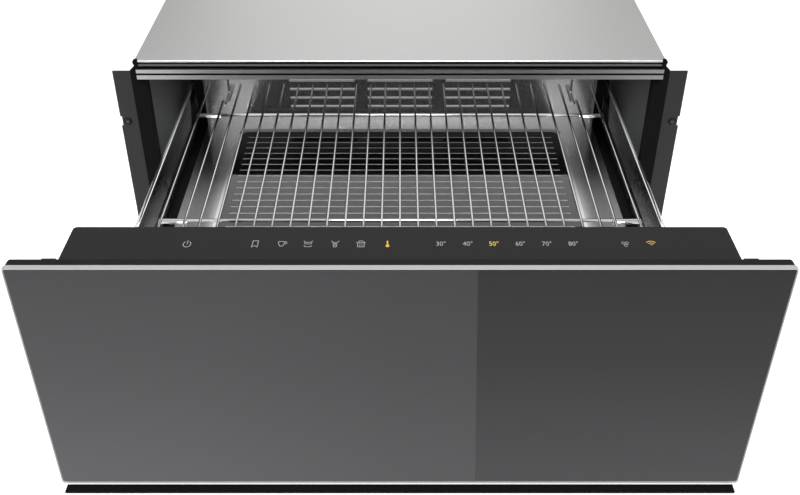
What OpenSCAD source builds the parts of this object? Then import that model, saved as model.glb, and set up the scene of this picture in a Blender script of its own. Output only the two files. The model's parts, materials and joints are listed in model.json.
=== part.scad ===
// Built-in warming drawer, shown pulled open as far as its slides allow.
// X runs across the front, Y from the front to the back, Z up from the base.
// The origin is the middle of the base panel, on the surface it stands on.

/* [Front] */
// Width of the glass front
front_w = 590; // [570:1:620]
// Height of the glass front
front_h = 233.7; // [226:0.1:260]
// Thickness of the front glass
glass_t = 5.2; // [4:0.1:8]
// Radius of the front glass corners
glass_corner_r = 3; // [1:0.5:6]
// Depth of the black frame behind the glass
frame_t = 7.3; // [6:0.1:12]
// How far the frame stays inside the edge of the glass
frame_inset = 1; // [0.5:0.1:3]
// Thickness of the lip under the front
lip_t = 2; // [1.5:0.1:3]
// How far the lip stands out in front of the glass
lip_out = 6; // [3:0.5:10]
// Width of the lip
lip_w = 582; // [540:1:588]
// Gap between the lip and the glass above it
lip_gap = 2; // [1:0.1:3]
// Gap between the lip and the surface the carcass stands on
lip_clear = 3.3; // [2:0.1:6]

/* [Controls] */
// Width of the control housing
housing_w = 513.8; // [480:0.2:515]
// Depth of the control housing behind the frame
housing_d = 47.7; // [40:0.1:49]
// Height of the control housing with its panel
housing_h = 34; // [28:1:45]
// How far the control panel lies below the top of the glass
panel_drop = 3; // [2.5:0.1:6]
// Thickness of the control panel
panel_t = 2; // [1.5:0.1:3]
// Wall of the control housing
housing_wall = 2; // [1.2:0.1:3]
// Radius of the rear corners of the control housing
housing_r = 3; // [1:0.5:6]
// Thickness of the circuit board in the control housing
board_t = 1.6; // [1:0.1:2.4]

/* [Tray] */
// Depth of the tray floor, front to back
floor_l = 454; // [430:1:480]
// Width of the tray floor
floor_w = 476; // [460:1:480]
// How far the tray floor lies below the top of the glass
floor_drop = 149.8; // [146:0.1:152]
// Thickness of the tray's steel sheet
tray_t = 1; // [0.8:0.1:1.5]
// Height of the folded edge below the tray floor
floor_edge_h = 16.2; // [13:0.1:20]
// Height of the rear wall above the tray floor
rear_wall_h = 74; // [72:1:85]
// Height of the glass side walls above the tray floor
side_glass_h = 57.6; // [40:0.1:80]
// Thickness of the glass side walls
side_glass_t = 4; // [3:0.1:5]
// Width of the black profile between the floor and the glass side wall
profile_inner_w = 10.4; // [8:0.1:11]
// Wall of the black profile outside the glass
profile_wall = 1; // [0.8:0.1:1.5]

/* [Hot plate] */
// Width of the glass hot plate
plate_w = 384.4; // [360:0.2:400]
// Depth of the glass hot plate
plate_l = 407; // [380:1:410]
// Thickness of the glass hot plate
plate_t = 4; // [3:0.1:5]
// Corner radius of the glass hot plate
plate_r = 7; // [3:0.5:15]
// Width of the sloped border pressed round the hot plate
border_w = 5.6; // [3:0.1:6]
// Depth of the sloped border
border_drop = 1.2; // [0.6:0.1:2]
// Thickness of the heating mat under the hot plate
heater_t = 1.6; // [1:0.1:3]
// Thickness of the insulation under the heating mat
insulation_t = 16; // [10:1:25]

/* [Rack] */
// Height of the rack above the tray floor, to the middle of its wires
rack_h = 52.8; // [48:0.1:60]
// Diameter of the long wires
wire_d = 2.5; // [2:0.1:3.5]
// Diameter of the cross bars
bar_d = 3.5; // [3:0.1:4.5]
// Distance between the long wires
wire_pitch = 17.56; // [16:0.02:18]
// Number of evenly spaced wires on each side of the middle one
wires_per_side = 11; // [9:1:11]
// Distance of the stepped wire from the middle
step_wire_x = 208.2; // [206:0.1:212]
// Distance of the outermost wire from the middle
outer_wire_x = 231.4; // [228:0.1:233]
// Drop of the stepped wire where it sits on its stud
step_drop = 10.2; // [8:0.1:12]
// Height of the upright ends of the stepped wires at the back of the rack
guard_h = 16; // [12:1:24]
// Inside radius of the wire bends
bend_r = 4; // [3:0.5:6]
// Distance between the two rear cross bars
bar_pitch = 220; // [200:1:240]
// Distance of the rearmost cross bar from the rear wall
bar_rear = 77; // [60:1:90]

/* [Louvres] */
// Width of one louvre
louvre_w = 79.2; // [60:0.2:84]
// Distance between louvre groups
louvre_group_pitch = 94.9; // [90:0.1:100]
// Number of louvre rows
louvre_rows = 4; // [2:1:4]
// Distance between louvre rows
louvre_pitch = 11.5; // [10:0.1:13]
// Height of the lowest louvre above the tray floor
louvre_first = 21.5; // [18:0.1:24]
// Height of one louvre hood
louvre_h = 4.4; // [3:0.1:6]
// How far a louvre hood stands out
louvre_out = 1.8; // [1:0.1:2.2]

/* [Carcass] */
// Width of the carcass
carcass_w = 528; // [527:0.5:534]
// Height of the carcass above the top of the glass
top_over = 19.3; // [18:0.1:24]
// Thickness of the carcass sheet
sheet_t = 1.2; // [0.8:0.1:1.5]
// How far the top rail stands in front of the side flanges
rail_ahead = 12; // [8:0.5:16]
// Depth of the top rail
rail_d = 26; // [20:1:34]
// Height of the top rail
rail_h = 10.5; // [9:0.1:11]
// Clearance between the top rail and the control panel
rail_clear = 1.7; // [0.8:0.1:2.4]
// Width of one mounting flange plate, from the carcass side outward
flange_w = 27.6; // [24:0.1:30]
// Thickness of the mounting flange
flange_t = 1.5; // [1.2:0.1:2.5]
// Height of the top of the mounting flange above the top of the glass
flange_over = 2.2; // [0:0.1:4]
// Diameter of the screw holes in the mounting flanges
screw_hole_d = 5.2; // [4:0.1:6]
// Distance of the screw holes from the outer edge of the flange
screw_edge = 7.2; // [6:0.1:9]
// Height of the upper screw holes
screw_z_top = 186.4; // [180:0.1:190]
// Distance between the upper and the lower screw holes
screw_pitch = 145; // [130:1:155]
// Width of the black gasket strip beside the opening
strip_w = 15; // [12:0.1:17]
// Thickness of the gasket strip in front of the flange
strip_t = 2; // [1.5:0.1:3]
// Diameter of the bead along the top rail
bead_d = 2.2; // [1.8:0.1:2.8]
// Diameter of the round caps at the ends of the top rail
cap_d = 7.2; // [6:0.1:8]

/* [Motion] */
// How far the drawer opens
travel = 308; // [280:1:330]
// Gap between the frame and the top rail when the drawer is shut
shut_gap = 2.2; // [1.8:0.1:4]
// Gap behind the air duct when the drawer is shut
rear_gap = 5; // [3:0.5:10]
// Length of the telescopic slides
slide_l = 420; // [390:5:470]
// Wall of the slide members
slide_t = 1.4; // [1.2:0.1:1.6]
// Height of the outer slide member
slide_h = 38; // [34:1:40]
// Stroke of the push latch plunger
latch_stroke = 3; // [2:0.5:4]

/* [Fan] */
// Diameter of the fan wheel
fan_d = 60; // [50:1:62]
// Width of the fan wheel
fan_w = 11; // [9:0.5:12]
// Number of fan blades
fan_blades = 24; // [12:1:30]
// Diameter of the fan shaft
shaft_d = 3; // [2.5:0.1:4]
// Radial clearance between the shaft and the wheel
shaft_clear = 0.05; // [0.02:0.01:0.08]
// Depth of the air duct behind the rear wall
duct_d = 26; // [25:1:32]
// Diameter of the tubular air heater
element_d = 6; // [5:0.1:6.5]

/* [Hidden] */
$fn = 48;
eps = 0.01;
gap = 0.5;

// Heights
glass_z0 = lip_clear + lip_t + lip_gap;
glass_z1 = glass_z0 + front_h;
panel_z1 = glass_z1 - panel_drop;
housing_z0 = panel_z1 - housing_h;
floor_z = glass_z1 - floor_drop;
edge_z0 = floor_z - floor_edge_h;
top_z = glass_z1 + top_over;
rail_z0 = panel_z1 + rail_clear;
rail_z1 = rail_z0 + rail_h;
wire_z = floor_z + rack_h;
weld_in = 0.3;
bar_z = wire_z - (wire_d + bar_d) / 2 + weld_in;
step_z = wire_z - step_drop;
rear_wall_z1 = floor_z + rear_wall_h;

// Places front to back, counted from the face of the open front
frame_y1 = glass_t + frame_t;
housing_y1 = frame_y1 + housing_d;
floor_lap = 2.2;
floor_y0 = housing_y1 - floor_lap;
floor_y1 = floor_y0 + floor_l;
duct_y1 = floor_y1 + tray_t + duct_d;
rail_y = frame_y1 + shut_gap + travel;
flange_y = rail_y + rail_ahead;
rear_y0 = duct_y1 + travel + rear_gap;
rear_y1 = rear_y0 + sheet_t;
front_y = -lip_out;
origin_y = (flange_y + flange_t + rear_y1) / 2;

// Half widths
half_out = carcass_w / 2;
half_in = half_out - sheet_t;
half_floor = floor_w / 2;
glass_x0 = half_floor + profile_inner_w;
glass_x1 = glass_x0 + side_glass_t;
profile_x1 = glass_x1 + profile_wall;
strip_out = 9;
strip_x0 = half_out + strip_out - strip_w;
plate_y0 = (floor_y0 + floor_y1 - plate_l) / 2;

// Chassis below the floor and the slides beside it
chassis_t = 1.2;
chassis_in = 42.1;
chassis_half = profile_x1 - chassis_in;
chassis_z0 = 30;
slide_w = 12.7;
slide_z0 = 24;
slide_back = 35.3;
slide_y0 = flange_y + slide_back;
slide_x0 = chassis_half;
slide_x1 = slide_x0 + slide_w;
ball_gap = 2.9;
slide_gap = 1;
bracket_clear = 3;
bracket_x1 = profile_x1 + bracket_clear;
screw_head_d = 7;
screw_head_h = 2;
shank_d = 3.5;
shank_l = 3;
shank_clear = 0.3;

// ---- helpers ----

// Box from its low corner to its high corner.
module box(low, high) {
  translate(low) cube(high - low);
}

// Copy on the left side as well as on the right side.
module both_sides() {
  children();
  mirror([1, 0, 0]) children();
}

// Left-hand copy of a right-hand piece.
module left() {
  mirror([1, 0, 0]) children();
}

// Profile drawn in Y and Z, pulled along X.
module along_x(x0, x1) {
  translate([x0, 0, 0]) rotate([90, 0, 90]) linear_extrude(x1 - x0) children();
}

// Profile drawn in X and Z, pulled along Y.
module along_y(y0, y1) {
  translate([0, y1, 0]) rotate([90, 0, 0]) linear_extrude(y1 - y0) children();
}

// Rectangle with round corners, centred.
module round_rect(w, h, r) {
  for (x = [-w / 2 + r, w / 2 - r], y = [-h / 2 + r, h / 2 - r]) translate([x, y]) circle(r);
  square([w - 2 * r, h], center = true);
  square([w, h - 2 * r], center = true);
}

// Round rod bent in its own plane through a list of points. The bends are a hair
// thicker than the straights, which run a little way into them.
bend_over = 0.06;
bend_lap = 0.25;
function unit(v) = v / norm(v);
function turn(p, i) = acos(unit(p[i] - p[i - 1]) * unit(p[i + 1] - p[i]));
function trim_at(p, i, r) = (i == 0 || i == len(p) - 1) ? 0 : r * tan(turn(p, i) / 2);
function lap_at(p, i, r) = (i == 0 || i == len(p) - 1) ? 0 : trim_at(p, i, r) - bend_lap;
module planar_rod(p, r, d) {
  for (i = [0 : len(p) - 2]) {
    dir = unit(p[i + 1] - p[i]);
    a = p[i] + dir * lap_at(p, i, r);
    b = p[i + 1] - dir * lap_at(p, i + 1, r);
    translate([a.x, a.y, 0])
      rotate([0, 0, atan2(dir.y, dir.x)])
      rotate([0, 90, 0])
      cylinder(h = norm(b - a), d = d, $fn = 13);
  }
  if (len(p) > 2) for (i = [1 : len(p) - 2]) {
    dir = unit(p[i] - p[i - 1]);
    next = unit(p[i + 1] - p[i]);
    side = sign(dir.x * next.y - dir.y * next.x);
    start = p[i] - dir * trim_at(p, i, r) + side * r * [-dir.y, dir.x];
    angle = atan2(dir.y, dir.x) - side * 90 - (side < 0 ? turn(p, i) : 0);
    translate([start.x, start.y, 0])
      rotate([0, 0, angle])
      rotate_extrude(angle = turn(p, i), $fn = 16)
      translate([r, 0]) circle(d = d + bend_over, $fn = 13);
  }
}

// Screw with a low head. It stands on the face it holds, its shank in the sheets.
module screw(l = shank_l) {
  cylinder(h = screw_head_h, d = screw_head_d);
  translate([0, 0, -l]) cylinder(h = l + eps, d = shank_d);
}

// Hole for such a screw.
module screw_hole() {
  translate([0, 0, -2 * shank_l]) cylinder(h = 2 * shank_l + 1, d = shank_d + shank_clear);
}

// Places of the screws, with Z pointing out of the face.
side_screw_z0 = 30;
side_screw_pitch = 95;
leg_d = 24;
module side_screw_places() {
  for (i = [0 : 2])
    translate([half_out + flange_t, flange_y + leg_d * 0.6, side_screw_z0 + i * side_screw_pitch])
      rotate([0, 90, 0]) children();
}

rear_screw_z0 = 22;
rear_screw_pitch = 108;
rear_fold = 14;
module rear_screw_places() {
  for (i = [0 : 2])
    translate([half_in - rear_fold / 2, rear_y1, rear_screw_z0 + i * rear_screw_pitch])
      rotate([-90, 0, 0]) children();
}

bracket_t = 2;
bracket_foot = 26;
foot_screw_y0 = 40;
module foot_screw_places() {
  for (i = [0 : 2])
    translate([slide_x1 + bracket_foot / 2 + 1,
               slide_y0 + foot_screw_y0 + i * (slide_l / 2 - foot_screw_y0),
               sheet_t + bracket_t]) children();
}

duct_half = 150;
duct_t = 1;
duct_lip = 10;
duct_y0 = floor_y1 + tray_t;
duct_z0 = chassis_z0;
duct_drop = 4;
duct_z1 = rear_wall_z1 - duct_drop;
duct_screw_in = 10;
module duct_screw_places() {
  for (z = [duct_z0 + duct_screw_in, edge_z0 - duct_screw_in])
    translate([duct_half + duct_lip / 2, duct_y0 + duct_t, z]) rotate([-90, 0, 0]) children();
}

rail_screw_in = 60;
module rail_screw_places() {
  for (y = [floor_y0 + rail_screw_in, floor_y1 - rail_screw_in])
    translate([slide_x0 - chassis_t, y, slide_z0 + slide_h / 2]) rotate([0, -90, 0]) children();
}

front_bracket_t = 2;
front_bracket_drop = 40;
front_screw_in = 7;
front_screw_up = 30;
module front_screw_places() {
  for (z = [housing_z0 - front_screw_up, edge_z0 - front_bracket_drop + front_screw_up])
    translate([bracket_x1 - front_screw_in, frame_y1 + front_bracket_t, z]) rotate([-90, 0, 0]) children();
}

// ---- carcass ----

hem_h = 2.8;
hem_back = 8;
cap_in = 1.6;
cap_x = half_out - cap_in;
cap_x0 = half_out - 3;
cap_t = 1.4;
module top_panel() {
  color("silver") difference() {
    along_x(-half_out, half_out) difference() {
      union() {
        translate([rail_y + hem_h / 2, top_z - sheet_t]) square([rear_y1 - rail_y - hem_h / 2, sheet_t]);
        translate([rail_y + hem_h / 2, top_z - hem_h / 2]) circle(d = hem_h);
        translate([rail_y + hem_h / 2, top_z - hem_h]) square([hem_back, sheet_t]);
      }
      translate([rail_y + hem_h / 2, top_z - hem_h + sheet_t])
        square([hem_back + 1, hem_h - 2 * sheet_t]);
    }
    both_sides() box([cap_x0, rail_y - 1, top_z - hem_h - 1], [half_out + 1, rail_y + cap_t, top_z + 1]);
  }
}

module right_side_panel() {
  color("dimgray") difference() {
    union() {
      box([half_in, flange_y + flange_t, sheet_t], [half_out, rear_y0, top_z - sheet_t]);
      box([half_in - rear_fold, rear_y0 - sheet_t, sheet_t], [half_out, rear_y0, top_z - sheet_t]);
    }
    side_screw_places() screw_hole();
    rear_screw_places() screw_hole();
  }
}

module left_side_panel() {
  left() right_side_panel();
}

rib_w = 14;
rib_h = 1.5;
rib_pitch = 120;
rib_front = 60;
rib_back = 90;
module base_panel() {
  color("silver") {
    difference() {
      box([-half_out, flange_y + flange_t, 0], [half_out, rear_y1, sheet_t]);
      both_sides() foot_screw_places() screw_hole();
    }
    for (i = [-1 : 1])
      box([i * rib_pitch - rib_w / 2, flange_y + rib_front, sheet_t - eps],
          [i * rib_pitch + rib_w / 2, rear_y0 - rib_back, sheet_t + rib_h]);
  }
}

vent_l = 60;
vent_h = 3;
vent_rows = 6;
vent_pitch = 8;
vent_x = 90;
vent_drop = 70;
vent_z0 = top_z - vent_drop;
gland_hole_d = 14;
box_half = 40;
box_in = 20;
gland_x = -(slide_x0 - box_in - box_half);
gland_z = 15;
module rear_panel() {
  color("silver") difference() {
    box([-half_out, rear_y0, sheet_t], [half_out, rear_y1, top_z - sheet_t]);
    for (x = [-vent_x, vent_x], i = [0 : vent_rows - 1])
      box([x - vent_l / 2, rear_y0 - 1, vent_z0 + vent_pitch * i],
          [x + vent_l / 2, rear_y1 + 1, vent_z0 + vent_pitch * i + vent_h]);
    translate([gland_x, rear_y0 - 1, gland_z]) rotate([-90, 0, 0]) cylinder(h = 5, d = gland_hole_d);
    both_sides() rear_screw_places() screw_hole();
  }
}

groove_h = 2;
groove_d = 2.2;
groove_up = 4.6;
rail_wall = 3;
module front_rail() {
  color("silver") difference() {
    along_x(-half_out, half_out) difference() {
      translate([rail_y, rail_z0]) square([rail_d, rail_h]);
      translate([rail_y - 1, rail_z0 + groove_up]) square([groove_d + 1, groove_h]);
      translate([rail_y + rail_wall, rail_z0 + rail_wall / 2])
        square([rail_d - rail_wall + 1, rail_h - rail_wall]);
    }
    both_sides() box([half_in, flange_y, rail_z0 - 1], [half_out + 1, rail_y + rail_d + 1, rail_z1 + 1]);
  }
}

seal_back = 4;
seal_end = 1.5;
bead_up = 4.3;
bead_z = rail_z1 + bead_up;
bead_y = rail_y + bead_d / 2 + 0.2;
module rail_seal() {
  color("black") box([-half_out + seal_end, rail_y + seal_back, rail_z1],
                     [half_out - seal_end, rail_y + rail_d, top_z - hem_h]);
}

module rail_bead() {
  color("gray") along_x(-cap_x0 + cap_gap, cap_x0 - cap_gap) {
    translate([bead_y, bead_z]) circle(d = bead_d);
    translate([bead_y, bead_z - bead_d / 4]) square([rail_y + seal_back - bead_y, bead_d / 2]);
  }
}

cap_gap = 0.1;
cap_drop = 2.1;
cap_z = top_z - cap_drop;
cap_hole_d = 2;
module rail_end_caps() {
  color("black") both_sides() difference() {
    union() {
      translate([cap_x, rail_y + cap_t - cap_gap, cap_z]) rotate([90, 0, 0])
        cylinder(h = cap_t + gap, d = cap_d);
      box([cap_x0, rail_y + cap_t / 2, rail_z1 + cap_gap],
          [half_out + seal_end, rail_y + seal_back - cap_gap, top_z - hem_h - cap_gap]);
    }
    translate([cap_x, rail_y + cap_t / 2, cap_z]) rotate([90, 0, 0])
      cylinder(h = cap_t + gap, d = cap_hole_d);
    box([cap_x - cap_d, rail_y - gap - 1, rail_z1], [cap_x0, rail_y + seal_back, top_z + cap_d]);
  }
}

notch_d = 1.7;
notch_h = 11;
dimple_d = 8.4;
dimple_t = 1;
dimple_wall = 0.7;
screw_x = half_out + flange_w - screw_edge;
flange_z0 = 8;
flange_z1 = glass_z1 + flange_over;
screw_heights = [screw_z_top, screw_z_top - screw_pitch];
module right_flange() {
  color("dimgray") difference() {
    union() {
      along_y(flange_y, flange_y + flange_t) polygon([
        [half_in, flange_z0], [half_out + flange_w, flange_z0], [half_out + flange_w, flange_z1],
        [half_out, flange_z1], [half_out, rail_z0], [half_in, rail_z0]]);
      box([half_out, flange_y + flange_t, flange_z0],
          [half_out + flange_t, flange_y + leg_d, flange_z1]);
      for (z = screw_heights)
        translate([screw_x, flange_y + flange_t + dimple_t, z]) rotate([90, 0, 0])
          cylinder(h = dimple_t + eps, d = dimple_d);
    }
    for (z = screw_heights) {
      translate([screw_x, flange_y + 2 * flange_t + dimple_t, z]) rotate([90, 0, 0])
        cylinder(h = 4 * flange_t, d = screw_hole_d);
      translate([screw_x, flange_y + dimple_t, z]) rotate([90, 0, 0])
        cylinder(h = 2 * dimple_t, d = dimple_d - 2 * dimple_wall);
      translate([half_out + flange_w, flange_y, z])
        cube([2 * notch_d, leg_d, notch_h], center = true);
    }
    side_screw_places() screw_hole();
  }
}

module left_flange() {
  left() right_flange();
}

strip_back = 10;
strip_z0 = 20;
strip_corner_z = flange_z1 + 1.5;
strip_corner = 4.6;
strip_gap = 0.1;
module right_gasket_strip() {
  strip_x1 = strip_x0 + strip_w;
  color("black") {
    along_y(flange_y - strip_t, flange_y) polygon([
      [strip_x0, strip_z0], [strip_x1, strip_z0], [strip_x1, strip_corner_z],
      [strip_x1 - strip_corner, strip_corner_z + strip_corner],
      [half_out + strip_gap, strip_corner_z + strip_corner], [half_out + strip_gap, rail_z0 - strip_gap],
      [strip_x0, rail_z0 - strip_gap]]);
    box([strip_x0, flange_y - eps, strip_z0], [half_in, flange_y + strip_back, rail_z0 - strip_gap]);
  }
}

module left_gasket_strip() {
  left() right_gasket_strip();
}

lower_rail_h = 18;
module lower_front_rail() {
  color("dimgray") along_x(-half_in, half_in) difference() {
    translate([flange_y + flange_t, sheet_t]) square([rail_d, lower_rail_h]);
    translate([flange_y + flange_t + sheet_t, -1]) square([rail_d, lower_rail_h + 1]);
  }
}

window_l = 60;
window_h = 10;
window_z = 9;
windows = 4;
module right_slide_bracket() {
  color("lightgray") difference() {
    union() {
      box([slide_x1, slide_y0, sheet_t], [slide_x1 + bracket_t, slide_y0 + slide_l, slide_z0 + slide_h]);
      box([slide_x1, slide_y0, sheet_t], [slide_x1 + bracket_foot, slide_y0 + slide_l, sheet_t + bracket_t]);
    }
    for (i = [0.5 : windows - 0.5])
      translate([slide_x1 - 1, slide_y0 + slide_l * i / windows - window_l / 2, window_z])
        cube([bracket_t + 2, window_l, window_h]);
    foot_screw_places() screw_hole();
  }
}

module left_slide_bracket() {
  left() right_slide_bracket();
}

// Channel of a slide: a web with two flanges, drawn in X and Z.
module channel(web_x, open_to, z0, z1) {
  flange_x0 = min(web_x, open_to);
  flange_x1 = max(web_x, open_to);
  web_x0 = open_to > web_x ? web_x : web_x - slide_t;
  translate([web_x0, z0]) square([slide_t, z1 - z0]);
  for (z = [z0, z1 - slide_t]) translate([flange_x0, z]) square([flange_x1 - flange_x0, slide_t]);
}

module right_cabinet_rail() {
  color("lightgray") along_y(slide_y0, slide_y0 + slide_l)
    channel(slide_x1, slide_x0 + slide_gap, slide_z0, slide_z0 + slide_h);
}

module left_cabinet_rail() {
  left() right_cabinet_rail();
}

middle_z0 = slide_z0 + slide_t + ball_gap;
middle_z1 = slide_z0 + slide_h - slide_t - ball_gap;
middle_x0 = slide_x0 + 1.6;
middle_x = slide_x0 + 5.4;
module right_middle_rail() {
  color("lightgray") along_y(slide_y0 - travel / 2, slide_y0 - travel / 2 + slide_l) {
    channel(middle_x, slide_x1 - slide_t - slide_gap, middle_z0, middle_z1);
    for (z = [middle_z0, middle_z1 - slide_t])
      translate([middle_x0, z]) square([middle_x - middle_x0 + eps, slide_t]);
  }
}

module left_middle_rail() {
  left() right_middle_rail();
}

middle_gap = 0.7;
module right_drawer_rail() {
  color("lightgray") difference() {
    along_y(slide_y0 - travel, slide_y0 - travel + slide_l)
      channel(slide_x0, middle_x - middle_gap, middle_z0 + slide_t + ball_gap, middle_z1 - slide_t - ball_gap);
    rail_screw_places() screw_hole();
  }
}

module left_drawer_rail() {
  left() right_drawer_rail();
}

box_d = 50;
box_wall = 2;
box_below = 3;
module terminal_box() {
  box_z1 = chassis_z0 - box_below;
  color("dimgray") difference() {
    box([gland_x - box_half, rear_y0 - box_d, sheet_t], [gland_x + box_half, rear_y0, box_z1]);
    box([gland_x - box_half + box_wall, rear_y0 - box_d + box_wall, sheet_t + box_wall],
        [gland_x + box_half - box_wall, rear_y0 - box_wall, box_z1 - box_wall]);
    translate([gland_x, rear_y0 + 1, gland_z]) rotate([90, 0, 0]) cylinder(h = 5, d = gland_hole_d);
  }
}

gland_bore_d = 8;
gland_out = 12;
gland_in = 2;
gland_nut_d = 20;
gland_nut_h = 4;
gland_cap_d = 15.5;
module cable_gland() {
  color("black") translate([gland_x, rear_y0 - gland_in, gland_z]) rotate([-90, 0, 0]) difference() {
    union() {
      cylinder(h = gland_in + gland_out, d = gland_hole_d - shank_clear);
      translate([0, 0, gland_in + sheet_t]) cylinder(h = gland_nut_h, d = gland_nut_d, $fn = 6);
      translate([0, 0, gland_in + sheet_t]) cylinder(h = gland_out - sheet_t, d = gland_cap_d);
    }
    translate([0, 0, -1]) cylinder(h = gland_in + gland_out + 2, d = gland_bore_d);
  }
}

latch_x = 185;
latch_up = 45;
latch_z = floor_z + latch_up;
latch_w = 24;
latch_h = 18;
latch_body_d = 23;
plunger_d = 8;
plunger_in = 12;
plunger_clear = 0.4;
plunger_out = rear_y0 - latch_body_d - (floor_y1 + tray_t + travel) - gap;
module latch_body() {
  color("black") difference() {
    box([latch_x - latch_w / 2, rear_y0 - latch_body_d, latch_z - latch_h / 2],
        [latch_x + latch_w / 2, rear_y0, latch_z + latch_h / 2]);
    translate([latch_x, rear_y0 - latch_body_d - 1, latch_z]) rotate([-90, 0, 0])
      cylinder(h = plunger_in + latch_stroke + 2, d = plunger_d + 2 * plunger_clear);
  }
}

module latch_plunger() {
  plunger_l = plunger_out + plunger_in;
  color("gainsboro") translate([latch_x, rear_y0 - latch_body_d - plunger_out, latch_z])
    rotate([-90, 0, 0]) {
      translate([0, 0, 1]) cylinder(h = plunger_l - 1, d = plunger_d);
      cylinder(h = 1 + eps, d1 = plunger_d - 2, d2 = plunger_d);
    }
}

module carcass_screws() {
  color("silver") both_sides() {
    side_screw_places() screw();
    rear_screw_places() screw();
    foot_screw_places() screw();
  }
}

// ---- drawer ----

module front_glass() {
  color("dimgray", 0.9) along_y(0, glass_t)
    translate([0, (glass_z0 + glass_z1) / 2]) round_rect(front_w, front_h, glass_corner_r);
}

frame_back_r = 3.5;
pocket_in = 54;
pocket_skin = 2;
pocket_up = 20;
pocket_down = 12;
module front_frame() {
  w = front_w - 2 * frame_inset;
  frame_z0 = glass_z0 + frame_inset;
  color("black") difference() {
    intersection() {
      along_y(glass_t, frame_y1) translate([0, (frame_z0 + glass_z1) / 2])
        round_rect(w, glass_z1 - frame_z0, glass_corner_r);
      translate([0, 0, frame_z0 - 1]) linear_extrude(glass_z1 - frame_z0 + 2) {
        translate([-w / 2, glass_t]) square([w, frame_t - frame_back_r]);
        translate([-w / 2 + frame_back_r, glass_t]) square([w - 2 * frame_back_r, frame_t]);
        for (x = [-1, 1]) translate([x * (w / 2 - frame_back_r), frame_y1 - frame_back_r])
          circle(frame_back_r);
      }
    }
    box([-w / 2 + pocket_in, glass_t + pocket_skin, frame_z0 + pocket_up],
        [w / 2 - pocket_in, frame_y1 + 1, housing_z0 - pocket_down]);
    both_sides() front_screw_places() screw_hole();
  }
}

module base_lip() {
  color("black") along_x(-lip_w / 2, lip_w / 2) {
    translate([front_y, lip_clear]) square([frame_y1 - front_y, lip_t]);
    translate([glass_t + 1, lip_clear + lip_t - eps])
      square([frame_t - 1, lip_gap + frame_inset + eps]);
  }
}

// Outline of the control housing, seen from above.
module housing_outline(inset = 0) {
  y0 = frame_y1 + (inset > 0 ? inset : 0);
  half = housing_w / 2 - inset;
  y1 = housing_y1 - inset;
  r = max(housing_r - inset, 0.6);
  translate([-half, y0]) square([2 * half, y1 - y0 - r]);
  translate([-half + r, y0]) square([2 * (half - r), y1 - y0]);
  for (x = [-1, 1]) translate([x * (half - r), y1 - r]) circle(r);
}

module control_panel() {
  color([0.16, 0.16, 0.17]) translate([0, 0, panel_z1 - panel_t]) linear_extrude(panel_t) housing_outline();
}

board_drop = 10;
board_z = panel_z1 - panel_t - board_drop;
board_rest_w = 8;
board_rest_pitch = housing_w * 0.35;
module control_housing() {
  color([0.13, 0.13, 0.14]) difference() {
    translate([0, 0, housing_z0]) linear_extrude(housing_h - panel_t) housing_outline();
    translate([0, 0, housing_z0 + housing_wall]) linear_extrude(housing_h) housing_outline(housing_wall);
  }
  color([0.13, 0.13, 0.14]) for (x = [-board_rest_pitch, 0, board_rest_pitch])
    box([x - board_rest_w / 2, frame_y1 + housing_wall - eps, housing_z0 + housing_wall - eps],
        [x + board_rest_w / 2, housing_y1 - housing_wall + eps, board_z]);
}

key_w = 16;
key_y = 14;
keys = 8;
module control_board() {
  key_pitch = housing_w / (keys + 1);
  color("darkgreen") translate([0, 0, board_z]) linear_extrude(board_t) housing_outline(housing_wall + 1);
  color("darkgreen") for (i = [(1 - keys) / 2 : (keys - 1) / 2])
    box([i * key_pitch - key_w / 2, frame_y1 + key_y, board_z + board_t - eps],
        [i * key_pitch + key_w / 2, frame_y1 + key_y + key_w, panel_z1 - panel_t - gap]);
}

ear_t = 1.3;
ear_out = 11;
front_bracket_in = 12;
front_bracket_lap = 8;
module right_front_bracket() {
  z0 = edge_z0 - front_bracket_drop;
  color("dimgray") difference() {
    union() {
      box([bracket_x1 - front_bracket_t, frame_y1, z0], [bracket_x1, housing_y1 + front_bracket_in, housing_z0]);
      box([bracket_x1 - front_bracket_in, frame_y1, z0], [bracket_x1, frame_y1 + front_bracket_t, housing_z0]);
      box([chassis_half - front_bracket_lap, floor_y0 - 2 * front_bracket_t, z0 + front_bracket_in],
          [bracket_x1, floor_y0 - front_bracket_t, edge_z0 - 2]);
      along_y(frame_y1, frame_y1 + ear_t) polygon([
        [housing_w / 2, housing_z0], [housing_w / 2 + ear_out, housing_z0],
        [housing_w / 2 + ear_out, glass_z1], [housing_w / 2, glass_z1]]);
      box([bracket_x1 - front_bracket_t, frame_y1, housing_z0 - bracket_clear],
          [housing_w / 2 + ear_out, frame_y1 + ear_t, housing_z0]);
    }
    front_screw_places() screw_hole();
  }
}

module left_front_bracket() {
  left() right_front_bracket();
}

front_fold = 14;
module inner_front_panel() {
  half = glass_x0 - 2;
  color("silver") {
    box([-half, floor_y0 - tray_t, edge_z0], [half, floor_y0, housing_z0]);
    box([-half, floor_y0 - front_fold, housing_z0 - tray_t], [half, floor_y0 - tray_t + eps, housing_z0]);
  }
}

module chassis_pan() {
  color("lightgray") difference() {
    union() {
      along_y(floor_y0, floor_y1) {
        translate([-chassis_half, chassis_z0]) square([2 * chassis_half, chassis_t]);
        for (s = [0, 1]) mirror([s, 0]) {
          translate([chassis_half - chassis_t, chassis_z0]) square([chassis_t, edge_z0 - chassis_z0]);
          translate([chassis_half - chassis_t, edge_z0 - chassis_t])
            square([profile_x1 - chassis_half + chassis_t, chassis_t]);
        }
      }
      for (y = [floor_y0, floor_y1 - chassis_t])
        box([-chassis_half, y, chassis_z0], [chassis_half, y + chassis_t, edge_z0]);
    }
    both_sides() {
      rail_screw_places() screw_hole();
      duct_screw_places() screw_hole();
    }
  }
}

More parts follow.
